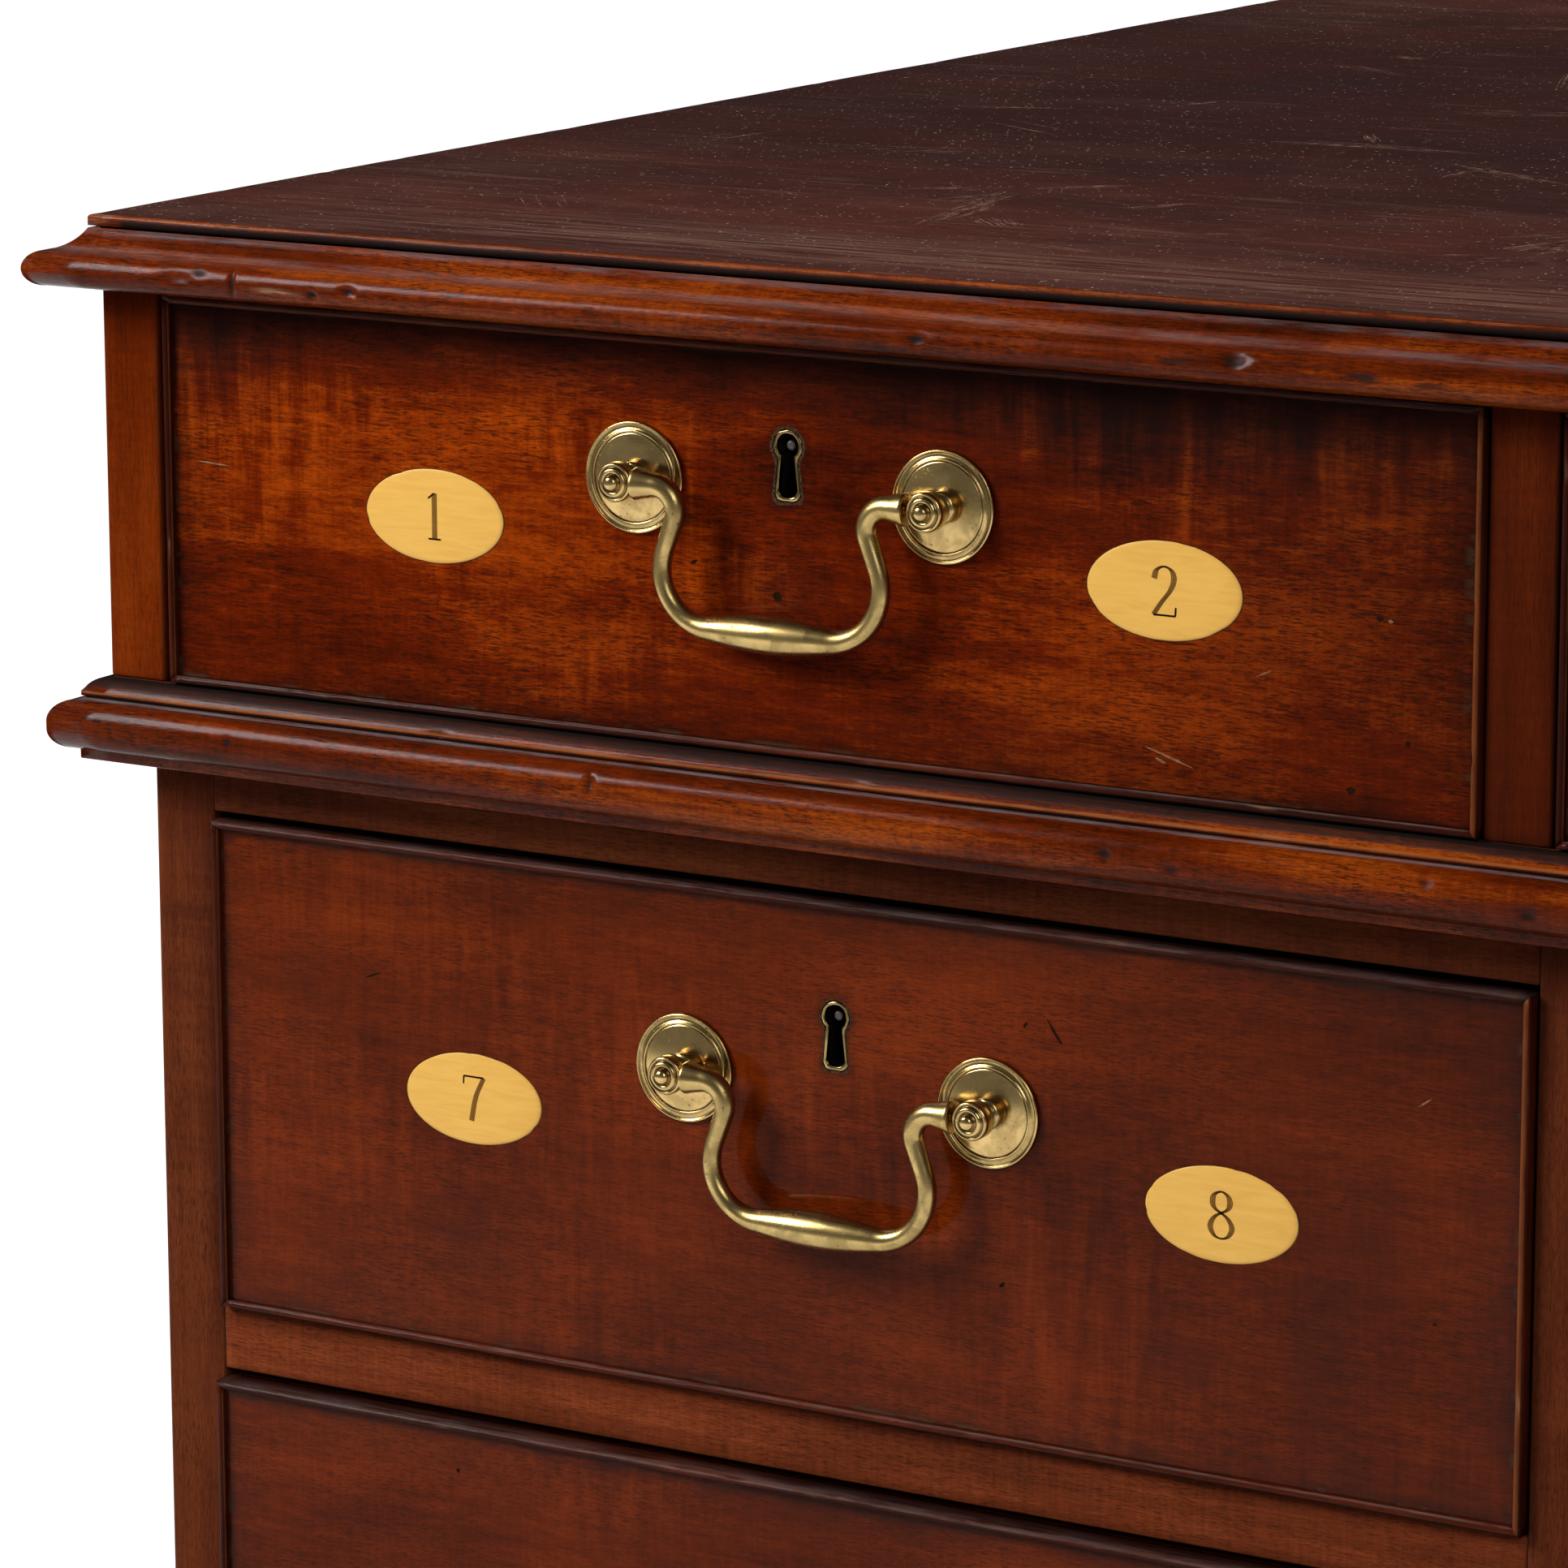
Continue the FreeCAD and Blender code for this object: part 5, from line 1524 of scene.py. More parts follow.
    def lock_mesh(self, row: Row) -> Mesh:
        """The thread escutcheon, the lock case and its pin, about the middle of the handle on a face at Y 0.

        Args:
            row: where the drawer sits.

        Returns:
            The mesh.
        """
        shell = Shell(f"lock_and_thread_{row.value}")
        rise = self.keyhole_rise[row]
        steps = ((0, 1.6), (0.05, 0.05), (0.3, -0.16), (0.85, -0.16), (1.15, 0.02), (1.4, 1.6))
        rings = [self.keyhole_ring(margin, y, rise) for margin, y in steps]
        for ring in rings[2:5]:
            for point in ring:
                drift = np.array(noise.noise_vector(Vector((point[0] * 0.6, 3, point[2] * 0.6))))
                point += drift * (0.34, 0.05, 0.34)
        shell.ring_wall(rings, 0, True, True, edge=(1, 0.9, 0.5, 0.45, 0.9, 1))
        back = self.front
        shell.board((-self.lock_half, back, rise - self.lock_below),
                    (self.lock_half, back + self.lock_depth, rise + self.lock_above), Axis.X, 1, 1, 3)
        pin = Shell("pin")
        tip = [(self.key_pin, -2.3), (1.35, -1.7), (0.8, -1.45), (0.4, -1.6), (0, -1.65)]
        pin.lathe([(0, -back), (self.key_pin, -back)] + tip, 1, 14)
        points = np.concatenate(pin.points) + np.array([0, 0, rise])
        shell.add(points, pin.faces, 2, True)
        return shell.mesh([BRASS, LOCK_METAL, STEEL])

    def bail_path(self) -> np.ndarray:
        """Centre line of the bail as rows (x, z, radius), from the right end round to the left end.

        Returns:
            The rows.
        """
        lean = math.radians(self.lean)
        inward = np.array([-math.cos(lean), -math.sin(lean)])
        leaning = np.array([math.sin(lean), -math.cos(lean)])
        shoulder_centre = np.array([self.shoulder, -self.small_bend])
        neck_start = shoulder_centre + inward * self.small_bend
        reach = self.bail_drop - self.large_bend * (1 + math.sin(lean))
        neck = (neck_start[1] + reach) / math.cos(lean)
        hip = neck_start + leaning * neck
        hip_centre = hip + inward * self.large_bend
        line = [np.array([x, 0]) for x in np.linspace(self.bail_end, self.shoulder, 14, endpoint=False)]
        line += [np.array(p) for p in arc(tuple(shoulder_centre), self.small_bend, 90, 180 + self.lean, 16)[:-1]]
        line += [neck_start + leaning * s for s in np.linspace(0, neck, 10, endpoint=False)]
        line += [np.array(p) for p in arc(tuple(hip_centre), self.large_bend, self.lean, -90, 20)[:-1]]
        line += [np.array([x, -self.bail_drop]) for x in np.linspace(hip_centre[0], 0, 26)]
        half = np.array(line)
        run = np.concatenate([[0], np.cumsum(np.linalg.norm(np.diff(half, axis=0), axis=1))])
        start = float(run[-27])
        marks = [0, 0.4, 0.9, 3, 5.5, 9.5, 15, 21, 30, start - 8, start]
        radii = [4.6, 4.8, 4.75, 4.25, 3.7, 3.35, 3.1, 2.85, 2.75, 2.9, 3.4]
        grip = np.clip((run - start) / (run[-1] - start), 0, 1)
        thickness = np.interp(run, marks, radii) + 2.05 * np.sin(grip * math.pi / 2)
        thickness[4:] = np.convolve(np.pad(thickness, 2, mode="reflect"), np.ones(5) / 5, mode="valid")[4:]
        rows = np.column_stack([half, thickness])
        other = rows[::-1][1:] * np.array([-1, 1, 1])
        return np.vstack([rows, other])

    def bail_mesh(self) -> Mesh:
        """The bail about its hinge axis, swept along its path by geometry nodes, with its two pins.

        Returns:
            The mesh.
        """
        rows = self.bail_path()
        curve = bpy.data.curves.new("bail_path", "CURVE")
        curve.dimensions = "3D"
        spline = curve.splines.new("POLY")
        spline.points.add(len(rows) - 1)
        for point, (x, z, radius) in zip(spline.points, rows):
            point.co = (x * MM, 0, z * MM, 1)
            point.radius = radius * MM
        source = link_object("bail_path", curve)
        swept = NodeForge.bake(source, NodeForge.tube_tree(), {"Sides": 28, "Finish": stock(SATIN)})
        pins, radius, end = Shell("bail_pins"), self.hinge_pin, self.hinge_pin_length
        for side in (-1, 1):
            pin = Shell("pin")
            pin.lathe([(0, 0), (radius, 0), (radius, end - 0.4), (radius - 0.4, end), (0, end)], 0, 16)
            flat = np.concatenate(pin.points)
            turned = np.column_stack([side * (self.bail_end - flat[:, 1]), side * flat[:, 0], flat[:, 2]])
            pins.add(turned, pin.faces, 0, True)
        return join_meshes("bail", [swept, pins.mesh([BRASS])])


class NodeForge:
    """Geometry node trees for what repeats or follows a path."""

    @staticmethod
    def start(name: str, **sockets: str) -> tuple[NodeTable, bpy.types.NodeOutputs]:
        """Start a tree with a geometry input, named inputs and a geometry output.

        Args:
            name: name of the tree.
            sockets: kind of each further input, by its name.

        Returns:
            The tree's table and the outputs of its input node.
        """
        tree = bpy.data.node_groups.new(name, "GeometryNodeTree")
        for label, kind in {"Geometry": "Geometry", **sockets}.items():
            tree.interface.new_socket(label, in_out="INPUT", socket_type=f"NodeSocket{kind}")
        tree.interface.new_socket("Geometry", in_out="OUTPUT", socket_type="NodeSocketGeometry")
        table = NodeTable(tree)
        return table, table.node("NodeGroupInput", {}).outputs

    @staticmethod
    def end(table: NodeTable, shape: Socket, finish: Socket) -> bpy.types.NodeTree:
        """Make a tree's shape real, give it its finish and end the tree.

        Args:
            table: the tree's table.
            shape: geometry so far.
            finish: the finish input.

        Returns:
            The finished tree.
        """
        real = table.node("GeometryNodeRealizeInstances", {0: shape}).outputs[0]
        dressed = table.node("GeometryNodeSetMaterial", {"Geometry": real, "Material": finish}).outputs[0]
        table.node("NodeGroupOutput", {0: dressed})
        return table.tree

    @classmethod
    def tube_tree(cls) -> bpy.types.NodeTree:
        """A tree that sweeps a round section along a curve, as thick as the curve's radius says.

        Returns:
            The tree.
        """
        table, given = cls.start("bent_rod", Sides="Int", Finish="Material")
        circle = table.node("GeometryNodeCurvePrimitiveCircle", {"Resolution": given["Sides"], "Radius": 1.0})
        sizes = {"Curve": given["Geometry"], "Profile Curve": circle.outputs["Curve"], "Fill Caps": True,
                 "Scale": table.node("GeometryNodeInputRadius", {}).outputs[0]}
        sweep = table.node("GeometryNodeCurveToMesh", sizes).outputs["Mesh"]
        smooth = table.node("GeometryNodeSetShadeSmooth", {0: sweep}).outputs[0]
        return cls.end(table, smooth, given["Finish"])

    @classmethod
    def pair_tree(cls) -> bpy.types.NodeTree:
        """A tree that sets one piece at both ends of a level line, the second one turned half round.

        Returns:
            The tree.
        """
        table, given = cls.start("pair_of_posts", Piece="Object", Spacing="Float", Finish="Material")
        combine, index = "ShaderNodeCombineXYZ", table.node("GeometryNodeInputIndex", {}).outputs[0]
        start = table.node(combine, {"X": table.times(given["Spacing"], -0.5)}).outputs[0]
        gap = table.node(combine, {"X": given["Spacing"]}).outputs[0]
        angle = table.node(combine, {"Y": table.times(index, math.pi)}).outputs[0]
        sizes = {"Count": 2, "Start Location": start, "Offset": gap}
        line = table.node("GeometryNodeMeshLine", sizes, mode="OFFSET").outputs["Mesh"]
        info = table.node("GeometryNodeObjectInfo", {"Object": given["Piece"], "As Instance": True})
        places = {"Points": line, "Instance": info.outputs["Geometry"], "Rotation": angle}
        return cls.end(table, table.node("GeometryNodeInstanceOnPoints", places).outputs[0], given["Finish"])

    @staticmethod
    def bake(source: bpy.types.Object, tree: bpy.types.NodeTree, inputs: dict[str, object]) -> Mesh:
        """Run a tree on an object, keep the result as a plain mesh and delete the object.

        Args:
            source: object that carries the modifier for the moment.
            tree: geometry node tree.
            inputs: values by socket name.

        Returns:
            The resulting mesh.
        """
        modifier = source.modifiers.new("forge", "NODES")
        modifier.node_group = tree
        for item in tree.interface.items_tree:
            if item.item_type == "SOCKET" and item.in_out == "INPUT" and item.name in inputs:
                modifier[item.identifier] = inputs[item.name]
        graph = bpy.context.evaluated_depsgraph_get()
        graph.update()
        made = bpy.data.meshes.new_from_object(source.evaluated_get(graph), depsgraph=graph)
        source.modifiers.remove(modifier)
        bpy.data.objects.remove(source)
        return made


def join_meshes(name: str, meshes: Sequence[Mesh], place: Optional[Matrix] = None) -> Mesh:
    """Several meshes as one, with their materials and attributes.

    Args:
        name: name of the new mesh.
        meshes: meshes to join.
        place: matrix that moves the result.

    Returns:
        The joined mesh.
    """
    work = bmesh.new()
    materials: list[Material] = []
    for mesh in meshes:
        before = len(work.faces)
        work.from_mesh(mesh)
        work.faces.ensure_lookup_table()
        numbers = []
        for material in mesh.materials:
            if material not in materials:
                materials.append(material)
            numbers.append(materials.index(material))
        for face in work.faces[before:]:
            face.material_index = numbers[face.material_index] if numbers else 0
    made = bpy.data.meshes.new(name)
    work.to_mesh(made)
    work.free()
    for material in materials:
        made.materials.append(material)
    if place is not None:
        made.transform(place)
    return made


@dataclass(frozen=True)
class Cloud:
    """A soft dark place on a drawer front, some of them painted shade: its middle, half sizes and strength."""

    x: float
    z: float
    wide: float
    high: float
    depth: float


@dataclass(frozen=True)
class Mark:
    """A small scratch or spot on a drawer front: its middle, half sizes, turn in degrees, and whether it is pale."""

    x: float
    z: float
    long: float
    wide: float
    turn: float = 0.0
    pale: bool = False


# Soft dark places of the pictured fronts; on the front left frieze drawer the broad ones at x 110 and 160 are painted
# shade, towards the right and under the top
CLOUDS = {
    "front_left_frieze_drawer": [
        Cloud(160, 5, 75, 60, 0.36), Cloud(110, 40, 90, 16, 0.3), Cloud(-3, -13, 17, 13, 0.34),
        Cloud(-60, -36, 50, 14, 0.16), Cloud(70, -42, 60, 12, 0.16), Cloud(-196, 40, 18, 14, 0.3)],
    "left_upper_drawer": [
        Cloud(-128, -44, 17, 13, 0.36), Cloud(-166, -62, 24, 10, 0.25), Cloud(-186, 25, 8, 32, 0.2),
        Cloud(110, -42, 13, 15, 0.28), Cloud(155, -30, 6, 28, 0.3), Cloud(172, 5, 7, 26, 0.22),
        Cloud(10, -45, 60, 17, 0.14), Cloud(-20, 30, 22, 14, 0.16)],
}
MARKS = {
    "front_left_frieze_drawer": [
        Mark(121.5, -46.1, 8.2, 0.35, -17, True), Mark(118.8, -47.3, 2.2, 0.5, -20, True),
        Mark(-198.5, 9.1, 6.8, 0.3, -3, True), Mark(176.7, -49.4, 1.5, 1.1), Mark(193.4, -35, 0.9, 0.8),
        Mark(184.4, -1.6, 1.3, 0.8), Mark(187.6, -2, 0.8, 0.5, 0, True), Mark(-3.4, -13, 1.9, 1.3),
        Mark(-31.1, -5.5, 1.4, 0.6, 30), Mark(160, 30, 0.7, 0.4), Mark(150, -20, 3, 0.25, 25, True)],
    "left_upper_drawer": [
        Mark(55, -28.9, 1.4, 0.8, 40), Mark(71.5, 46.8, 4.5, 0.5, -55), Mark(62, 48, 1.2, 0.4, 60),
        Mark(-160, 35, 3, 0.4, 20), Mark(186, 42, 2.6, 0.3, 35, True), Mark(190, -20, 0.8, 0.5)],
}
# Place of the oval plates from the middle of a front, as (across, up)
PLATE_PLACE = {Row.FRIEZE: (119.5, 0), Row.PEDESTAL: (124.4, 1.6)}
# Width of the old filler round a keyhole's thread
CRUST_WIDTH = {Row.FRIEZE: 0.9, Row.PEDESTAL: 0.35}
# How far the darkening reaches in from the left, right, lower and upper edge of a front: grime, and on the frieze
# fronts also painted shade under the top and towards the right
GRIME_AND_SHADE_REACH = {Row.FRIEZE: (20, 46, 16, 17), Row.PEDESTAL: (18, 24, 18, 21)}


@dataclass
class Drawer:
    """One drawer: front with cockbeads, fittings, bail, oval plates and linings."""

    name: str
    row: Row
    first_number: int
    bead_width: float = 2.6
    bead_proud: float = 2.4
    bead_rebate: float = 8.0
    front: float = 20.0
    thread_seat: float = 1.45
    thread_depth: float = 1.7
    key_half: float = 10.0
    key_below: float = 22.0
    key_above: float = 10.0
    film: float = 0.02
    plate_size: Pair = (47.8, 27.6)

    def __post_init__(self) -> None:
        """Read the drawer's place from its CAD nodes and its bail's hinge."""
        low, high = (np.array(corner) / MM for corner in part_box(f"{self.name}_front"))
        self.width, self.height = high[0] - low[0], high[2] - low[2]
        self.field_w, self.field_h = self.width / 2 - self.bead_width, self.height / 2 - self.bead_width
        joint = next(item for item in frame["joints"] if item["name"] == f"{self.name}_bail_swing")
        self.axis = np.array(joint["pos_m"]) / MM
        self.back_row = self.axis[1] > 0
        face = high[1] - self.bead_proud if self.back_row else low[1] + self.bead_proud
        self.origin = np.array([(low[0] + high[0]) / 2, face, (low[2] + high[2]) / 2])
        self.handle_z = self.axis[2] - self.origin[2]

    def matrix(self, z: float = 0.0) -> Matrix:
        """Placement of a mesh made round the middle of a front's face, in metres."""
        turn = Matrix.Rotation(math.pi, 4, "Z") if self.back_row else Matrix.Identity(4)
        return Matrix.Translation(Vector(self.origin * MM) + Vector((0, 0, z * MM))) @ turn

    def build(self, handle: Handle, fittings: dict[Row, Mesh], bail: Mesh) -> None:
        """Build and place every piece of the drawer.

        Args:
            handle: sizes of the handle.
            fittings: posts and lock for each row.
            bail: the bail about its hinge.
        """
        front = self.front_mesh(handle)
        front.transform(self.matrix())
        put(f"{self.name}_front_beaded", front, self.name, [f"{self.name}_front"])
        metal = join_meshes(f"{self.name}_brasses", [fittings[self.row]], self.matrix(self.handle_z))
        put(f"{self.name}_brasses", metal, self.name, [f"{self.name}_fittings"])
        swing = bail.copy()
        swing.transform(self.matrix(self.handle_z) @ Matrix.Translation((0, -handle.axis_out * MM, 0)))
        put(f"{self.name}_bail_swept", swing, f"{self.name}_bail", [f"{self.name}_bail"])
        plates = self.plates_mesh()
        plates.transform(self.matrix())
        put(f"{self.name}_number_plates", plates, self.name)
        dress(f"{self.name}_box", OAK)

    def front_mesh(self, handle: Handle) -> Mesh:
        """The pierced front and its four cockbeads.

        Args:
            handle: sizes of the handle.

        Returns:
            The mesh, about the middle of its face.
        """
        shell = Shell(f"{self.name}_front_beaded")
        half_w, half_h = self.width / 2, self.height / 2
        field_w, field_h = self.field_w, self.field_h
        key_z = self.handle_z + handle.keyhole_rise[self.row]

        def rectangle(w: float, h: float, y: float) -> np.ndarray:
            """A rectangle's corners at a depth, anticlockwise from the front."""
            return np.array([(-w, y, -h), (w, y, -h), (w, y, h), (-w, y, h)])

        def keyhole(margin: float, y: float) -> np.ndarray:
            """The keyhole's outline at a depth, anticlockwise from the front."""
            return handle.keyhole_ring(margin, y, key_z)

        offset = shell.offset()
        start = shell.count
        seat, film = self.thread_seat, -self.film
        block = (-self.key_half, self.key_half, key_z - self.key_below, key_z + self.key_above)
        opening = self.add_field(shell, block)
        clouds = self.cloud_list(shell)
        near_key = float(self.cloud(clouds, 0, key_z))
        shell.fill([opening, keyhole(seat + 3.2, 0)], (0, -1, 0), 0, edge=(0, 0),
                   chip=(self.cloud(clouds, opening[:, 0], opening[:, 2]), near_key))
        shell.ring_wall([keyhole(seat + grown, 0) for grown in (3.2, 1.2, 0)], 0, edge=(0, 0.45, 1),
                        chip=(near_key,) * 3)
        bore = ((seat, 0), (seat, self.thread_depth), (0, self.thread_depth), (0, self.front))
        # The bore's walls are near black: painted shade inside the keyhole
        shell.ring_wall([keyhole(margin, y) for margin, y in bore], 2, edge=(1,) * 4)
        crust = [keyhole(seat - 0.1, film), keyhole(seat + CRUST_WIDTH[self.row], film)]
        for point in crust[1]:
            drift = np.array(noise.noise_vector(Vector((point[0] * 0.9, self.axis[0], point[2] * 0.9))))
            point += drift * (0.8, 0, 0.8)
        shell.ring_wall(crust[::-1], 5)
        step = self.bead_rebate
        outer = [rectangle(half_w, half_h, self.front), rectangle(half_w, half_h, step),
                 rectangle(field_w, field_h, step), rectangle(field_w, field_h, 0)]
        shell.ring_wall(outer, 0, edge=(0.5,) * 4)
        shell.fill([rectangle(half_w, half_h, self.front), keyhole(0, self.front)], (0, 1, 0), 0, edge=(0, 0))
        self.lay_grain(shell, start, offset)
        self.add_beads(shell)
        self.add_marks(shell)
        finish = FRIEZE_FRONT if self.row is Row.FRIEZE else PEDESTAL_FRONT
        return shell.mesh([finish, BEAD, KEYHOLE_SHADE, PALE_MARK, DARK_MARK, CRUST])

    def add_field(self, shell: Shell, block: Sequence[float]) -> np.ndarray:
        """The front's face as a grid, darker along its edges and in soft clouds, left open round the keyhole.

        Args:
            shell: piece that receives the face.
            block: the opening as (left, right, bottom, top).

        Returns:
            The points round the opening, anticlockwise from the front.
        """
        # The margin darkening below is grime, and on the frieze fronts also painted shade under the top and towards the
        # right
        shares, grime = (0, 0.07, 0.2, 0.5, 1), (1, 0.9, 0.55, 0.28, 0)
        wide, field_w, field_h = GRIME_AND_SHADE_REACH[self.row], self.field_w, self.field_h

        def ticks(half: float, low_margin: float, high_margin: float, stops: Sequence[float]) -> np.ndarray:
            """Grid lines along one way: margins, the opening's sides, and steps between them.

            Args:
                half: half length.
                low_margin: reach of the grime at the low end.
                high_margin: the same at the high end.
                stops: the opening's sides.

            Returns:
                The lines in order.
            """
            places = set(stops)
            for share in shares:
                for place in (low_margin * share - half, half - high_margin * share):
                    if min(abs(place - other) for other in places) > 0.4:
                        places.add(place)
            ordered = sorted(places)
            lines = [np.linspace(a, b, math.ceil((b - a) / 8), endpoint=False) for a, b in zip(ordered, ordered[1:])]
            return np.concatenate(lines + [[half]])

        xs, zs = ticks(field_w, wide[0], wide[1], block[:2]), ticks(field_h, wide[2], wide[3], block[2:])
        x, z = (axis.ravel() for axis in np.meshgrid(xs, zs))
        sides = ((x + field_w, wide[0]), (field_w - x, wide[1]), (z + field_h, wide[2]), (field_h - z, wide[3]))
        edge = np.max([np.interp(distance / margin, shares, grime) for distance, margin in sides], axis=0)
        faces, count = [], len(xs)
        for j in range(len(zs) - 1):
            for i in range(count - 1):
                middle = ((xs[i] + xs[i + 1]) / 2, (zs[j] + zs[j + 1]) / 2)
                if not (block[0] < middle[0] < block[1] and block[2] < middle[1] < block[3]):
                    faces.append([j * count + i, j * count + i + 1, (j + 1) * count + i + 1, (j + 1) * count + i])
        shell.add(np.column_stack([x, np.zeros(len(x)), z]), faces, 0, False, edge=edge,
                  chip=self.cloud(self.cloud_list(shell), x, z))
        across = xs[(xs > block[0] - 0.01) & (xs < block[1] + 0.01)]
        upward = zs[(zs > block[2] - 0.01) & (zs < block[3] + 0.01)]
        loop = [(a, 0, upward[0]) for a in across[:-1]] + [(across[-1], 0, b) for b in upward[:-1]]
        loop += [(a, 0, upward[-1]) for a in across[:0:-1]] + [(across[0], 0, b) for b in upward[:0:-1]]
        return np.array(loop)

    def cloud_list(self, shell: Shell) -> list[Cloud]:
        """Soft dark places of the face: those of the picture, or others by chance; frieze fronts also get a band of
        painted shade, with some grime, along the top.

        Args:
            shell: piece whose name seeds the chance.

        Returns:
            The places.
        """
        # A broad dark band along the top of frieze fronts: painted shade under the top's overhang, with some grime
        shade_and_grime_under_top = [Cloud(0, self.height / 2, 2000, 17, 0.62)] if self.row is Row.FRIEZE else []
        if self.name in CLOUDS:
            return shade_and_grime_under_top + CLOUDS[self.name]
        pick = random.Random(shell.name + "_clouds").uniform
        return shade_and_grime_under_top + [Cloud(pick(-0.45, 0.45) * self.width, pick(-0.4, 0.4) * self.height, pick(8, 50), pick(8, 24),
                             pick(0.1, 0.3)) for _ in range(7)]

    @staticmethod
    def cloud(clouds: Sequence[Cloud], x: np.ndarray | float, z: np.ndarray | float) -> np.ndarray:
        """The darkening that the clouds give at some places, from 0 down to -0.8; part of it is painted shade.

        Args:
            clouds: soft dark places.
            x: places across.
            z: places upwards.

        Returns:
            The stain at each place.
        """
        total = sum(item.depth * np.exp(-((x - item.x) / item.wide) ** 2 - ((z - item.z) / item.high) ** 2)
                    for item in clouds)
        return -np.minimum(total, 0.8)

    def add_marks(self, shell: Shell) -> None:
        """Small scratches and dark spots on the face: those of the picture, or others by chance.

        Args:
            shell: the front.
        """
        marks, pick = MARKS.get(self.name), shell.chance.uniform
        if marks is None:
            marks = [Mark(pick(-0.9, 0.9) * self.field_w, pick(-0.85, 0.85) * self.field_h, pick(0.5, 2.5),
                          pick(0.3, 0.8), pick(-40, 40), shell.chance.random() < 0.3) for _ in range(7)]
        for mark in marks:
            turn, steps = math.radians(mark.turn), 16
            rim = ellipse(2 * mark.long, 2 * mark.wide, steps) * np.array([[pick(0.65, 1.1)] for _ in range(steps)])
            x = mark.x + rim[:, 0] * math.cos(turn) - rim[:, 1] * math.sin(turn)
            z = mark.z + rim[:, 0] * math.sin(turn) + rim[:, 1] * math.cos(turn)
            points = np.column_stack([x, np.full(steps, -0.03), z])
            shell.add(points, [list(range(steps))], 3 if mark.pale else 4, False)

    @staticmethod
    def lay_grain(shell: Shell, start: int, offset: np.ndarray) -> None:
        """Run the grain of everything added since the start along X.

        Args:
            shell: the front.
            start: count of points at the start.
            offset: place in the tree.
        """
        seen = 0
        for number, points in enumerate(shell.points):
            if seen >= start:
                shell.values["grain"][number] = (points[:, [0, 2, 1]] + offset) * MM
            seen += len(points)

    def add_beads(self, shell: Shell) -> None:
        """Four mitred cockbeads, let into the rebate and worn along their noses.

        Args:
            shell: the front.
        """
        wide, field_w, field_h = self.bead_width, self.field_w, self.field_h
        nose = arc((wide / 2, self.bead_proud - wide / 2), wide / 2, 0, 180, 11)
        outline = [(0, -self.bead_rebate), (wide, -self.bead_rebate)] + nose
        lengths = (((0, 0, field_h), (1, 0, 0), (0, 0, 1), 2 * field_w),
                   ((0, 0, -field_h), (-1, 0, 0), (0, 0, -1), 2 * field_w),
                   ((-field_w, 0, 0), (0, 0, 1), (-1, 0, 0), 2 * field_h),
                   ((field_w, 0, 0), (0, 0, -1), (1, 0, 0), 2 * field_h))
        proud, pick = self.bead_proud, shell.chance.uniform
        places = ((wide * 0.5, proud), (wide * 0.85, proud - 0.5), (wide * 0.15, proud - 0.5))
        for middle, along, outward, length in lengths:
            dents = [Dent(pick(-length / 2, length / 2), shell.chance.choice(places), pick(1, 5), pick(0.5, 1),
                          pick(0.1, 0.45), pick(-0.7, 0.4)) for _ in range(int(length / 28))]
            shell.sweep(outline, middle, along, outward, (0, -1, 0), length, 2.5, 1, self.bead_ages(outward), dents,
                        0.12, 1.5)

    def bead_ages(self, outward: Point) -> Callable[[Pair], Point]:
        """How the bead on one side aged: dust below, a rubbed nose at the right, thin worn lines elsewhere; black
        painted shade along the outer sides of the bottom and left beads, beside the gaps, and a dark line along the
        right bead's inner side.

        Args:
            outward: direction from the middle of the front to the bead.

        Returns:
            A function that gives edge wear, dust and stain for a point of the profile.
        """
        def ages(point: Pair) -> Point:
            """Edge wear, dust and darkening on one point.

            Args:
                point: place as (outward, up).

            Returns:
                The three amounts.
            """
            across, up = point
            nose, shoulder = up > self.bead_proud - 0.5, across < 0.45 and 1.3 < up < 2.1
            # Negative values: painted shade along the outer side of the bottom and left beads, beside the gaps; a dark
            # line along the right bead's inner side
            if outward[2] < 0:
                return (0.5 * nose, 0.5 * shoulder, -0.8 if across > 1.9 else 0)
            if outward[0] > 0:
                return (0.95 * nose, 0, -0.8 if across < 0.3 else 0)
            if outward[2] > 0:
                return (0.95 * shoulder, 0.3 if across > 1.5 and up > 0.0 else 0, 0)
            return (0.95 * shoulder, 0, -0.6 if across > 1.8 else 0)

        return ages

    def plates_mesh(self) -> Mesh:
        """Two oval plates of bone with engraved numbers, let into the front.

        Returns:
            The mesh.
        """
        shell = Shell(f"{self.name}_number_plates")
        reach, rise = PLATE_PLACE[self.row]
        numerals = Numerals()
        for side in (-1, 1):
            middle = np.array([side * reach, rise])
            self.add_plate(shell, middle)
            self.add_number(shell, middle, numerals.ribbons(self.first_number + (side + 1) // 2))
        return shell.mesh([BONE, INK, WASH, GLUE])

    def add_plate(self, shell: Shell, middle: np.ndarray) -> None:
        """One oval plate with a chipped rim, and the dark glue line round it.

        Args:
            shell: piece that receives it.
            middle: its middle as (x, z).
        """
        steps = 96
        rim = ellipse(*self.plate_size, steps)
        nick = np.ones(steps)
        for _ in range(7):
            place, size = shell.chance.randrange(steps), shell.chance.uniform(0.3, 1)
            for k in range(-1, 2):
                nick[(place + k) % steps] -= 0.012 * size * (1 - abs(k) * 0.6)
        rim = rim * nick[:, None]

        def loop(scale: float, y: float) -> np.ndarray:
            """The rim drawn in by a scale, at a depth."""
            return np.column_stack([rim[:, 0] * scale + middle[0], np.full(steps, y), rim[:, 1] * scale + middle[1]])

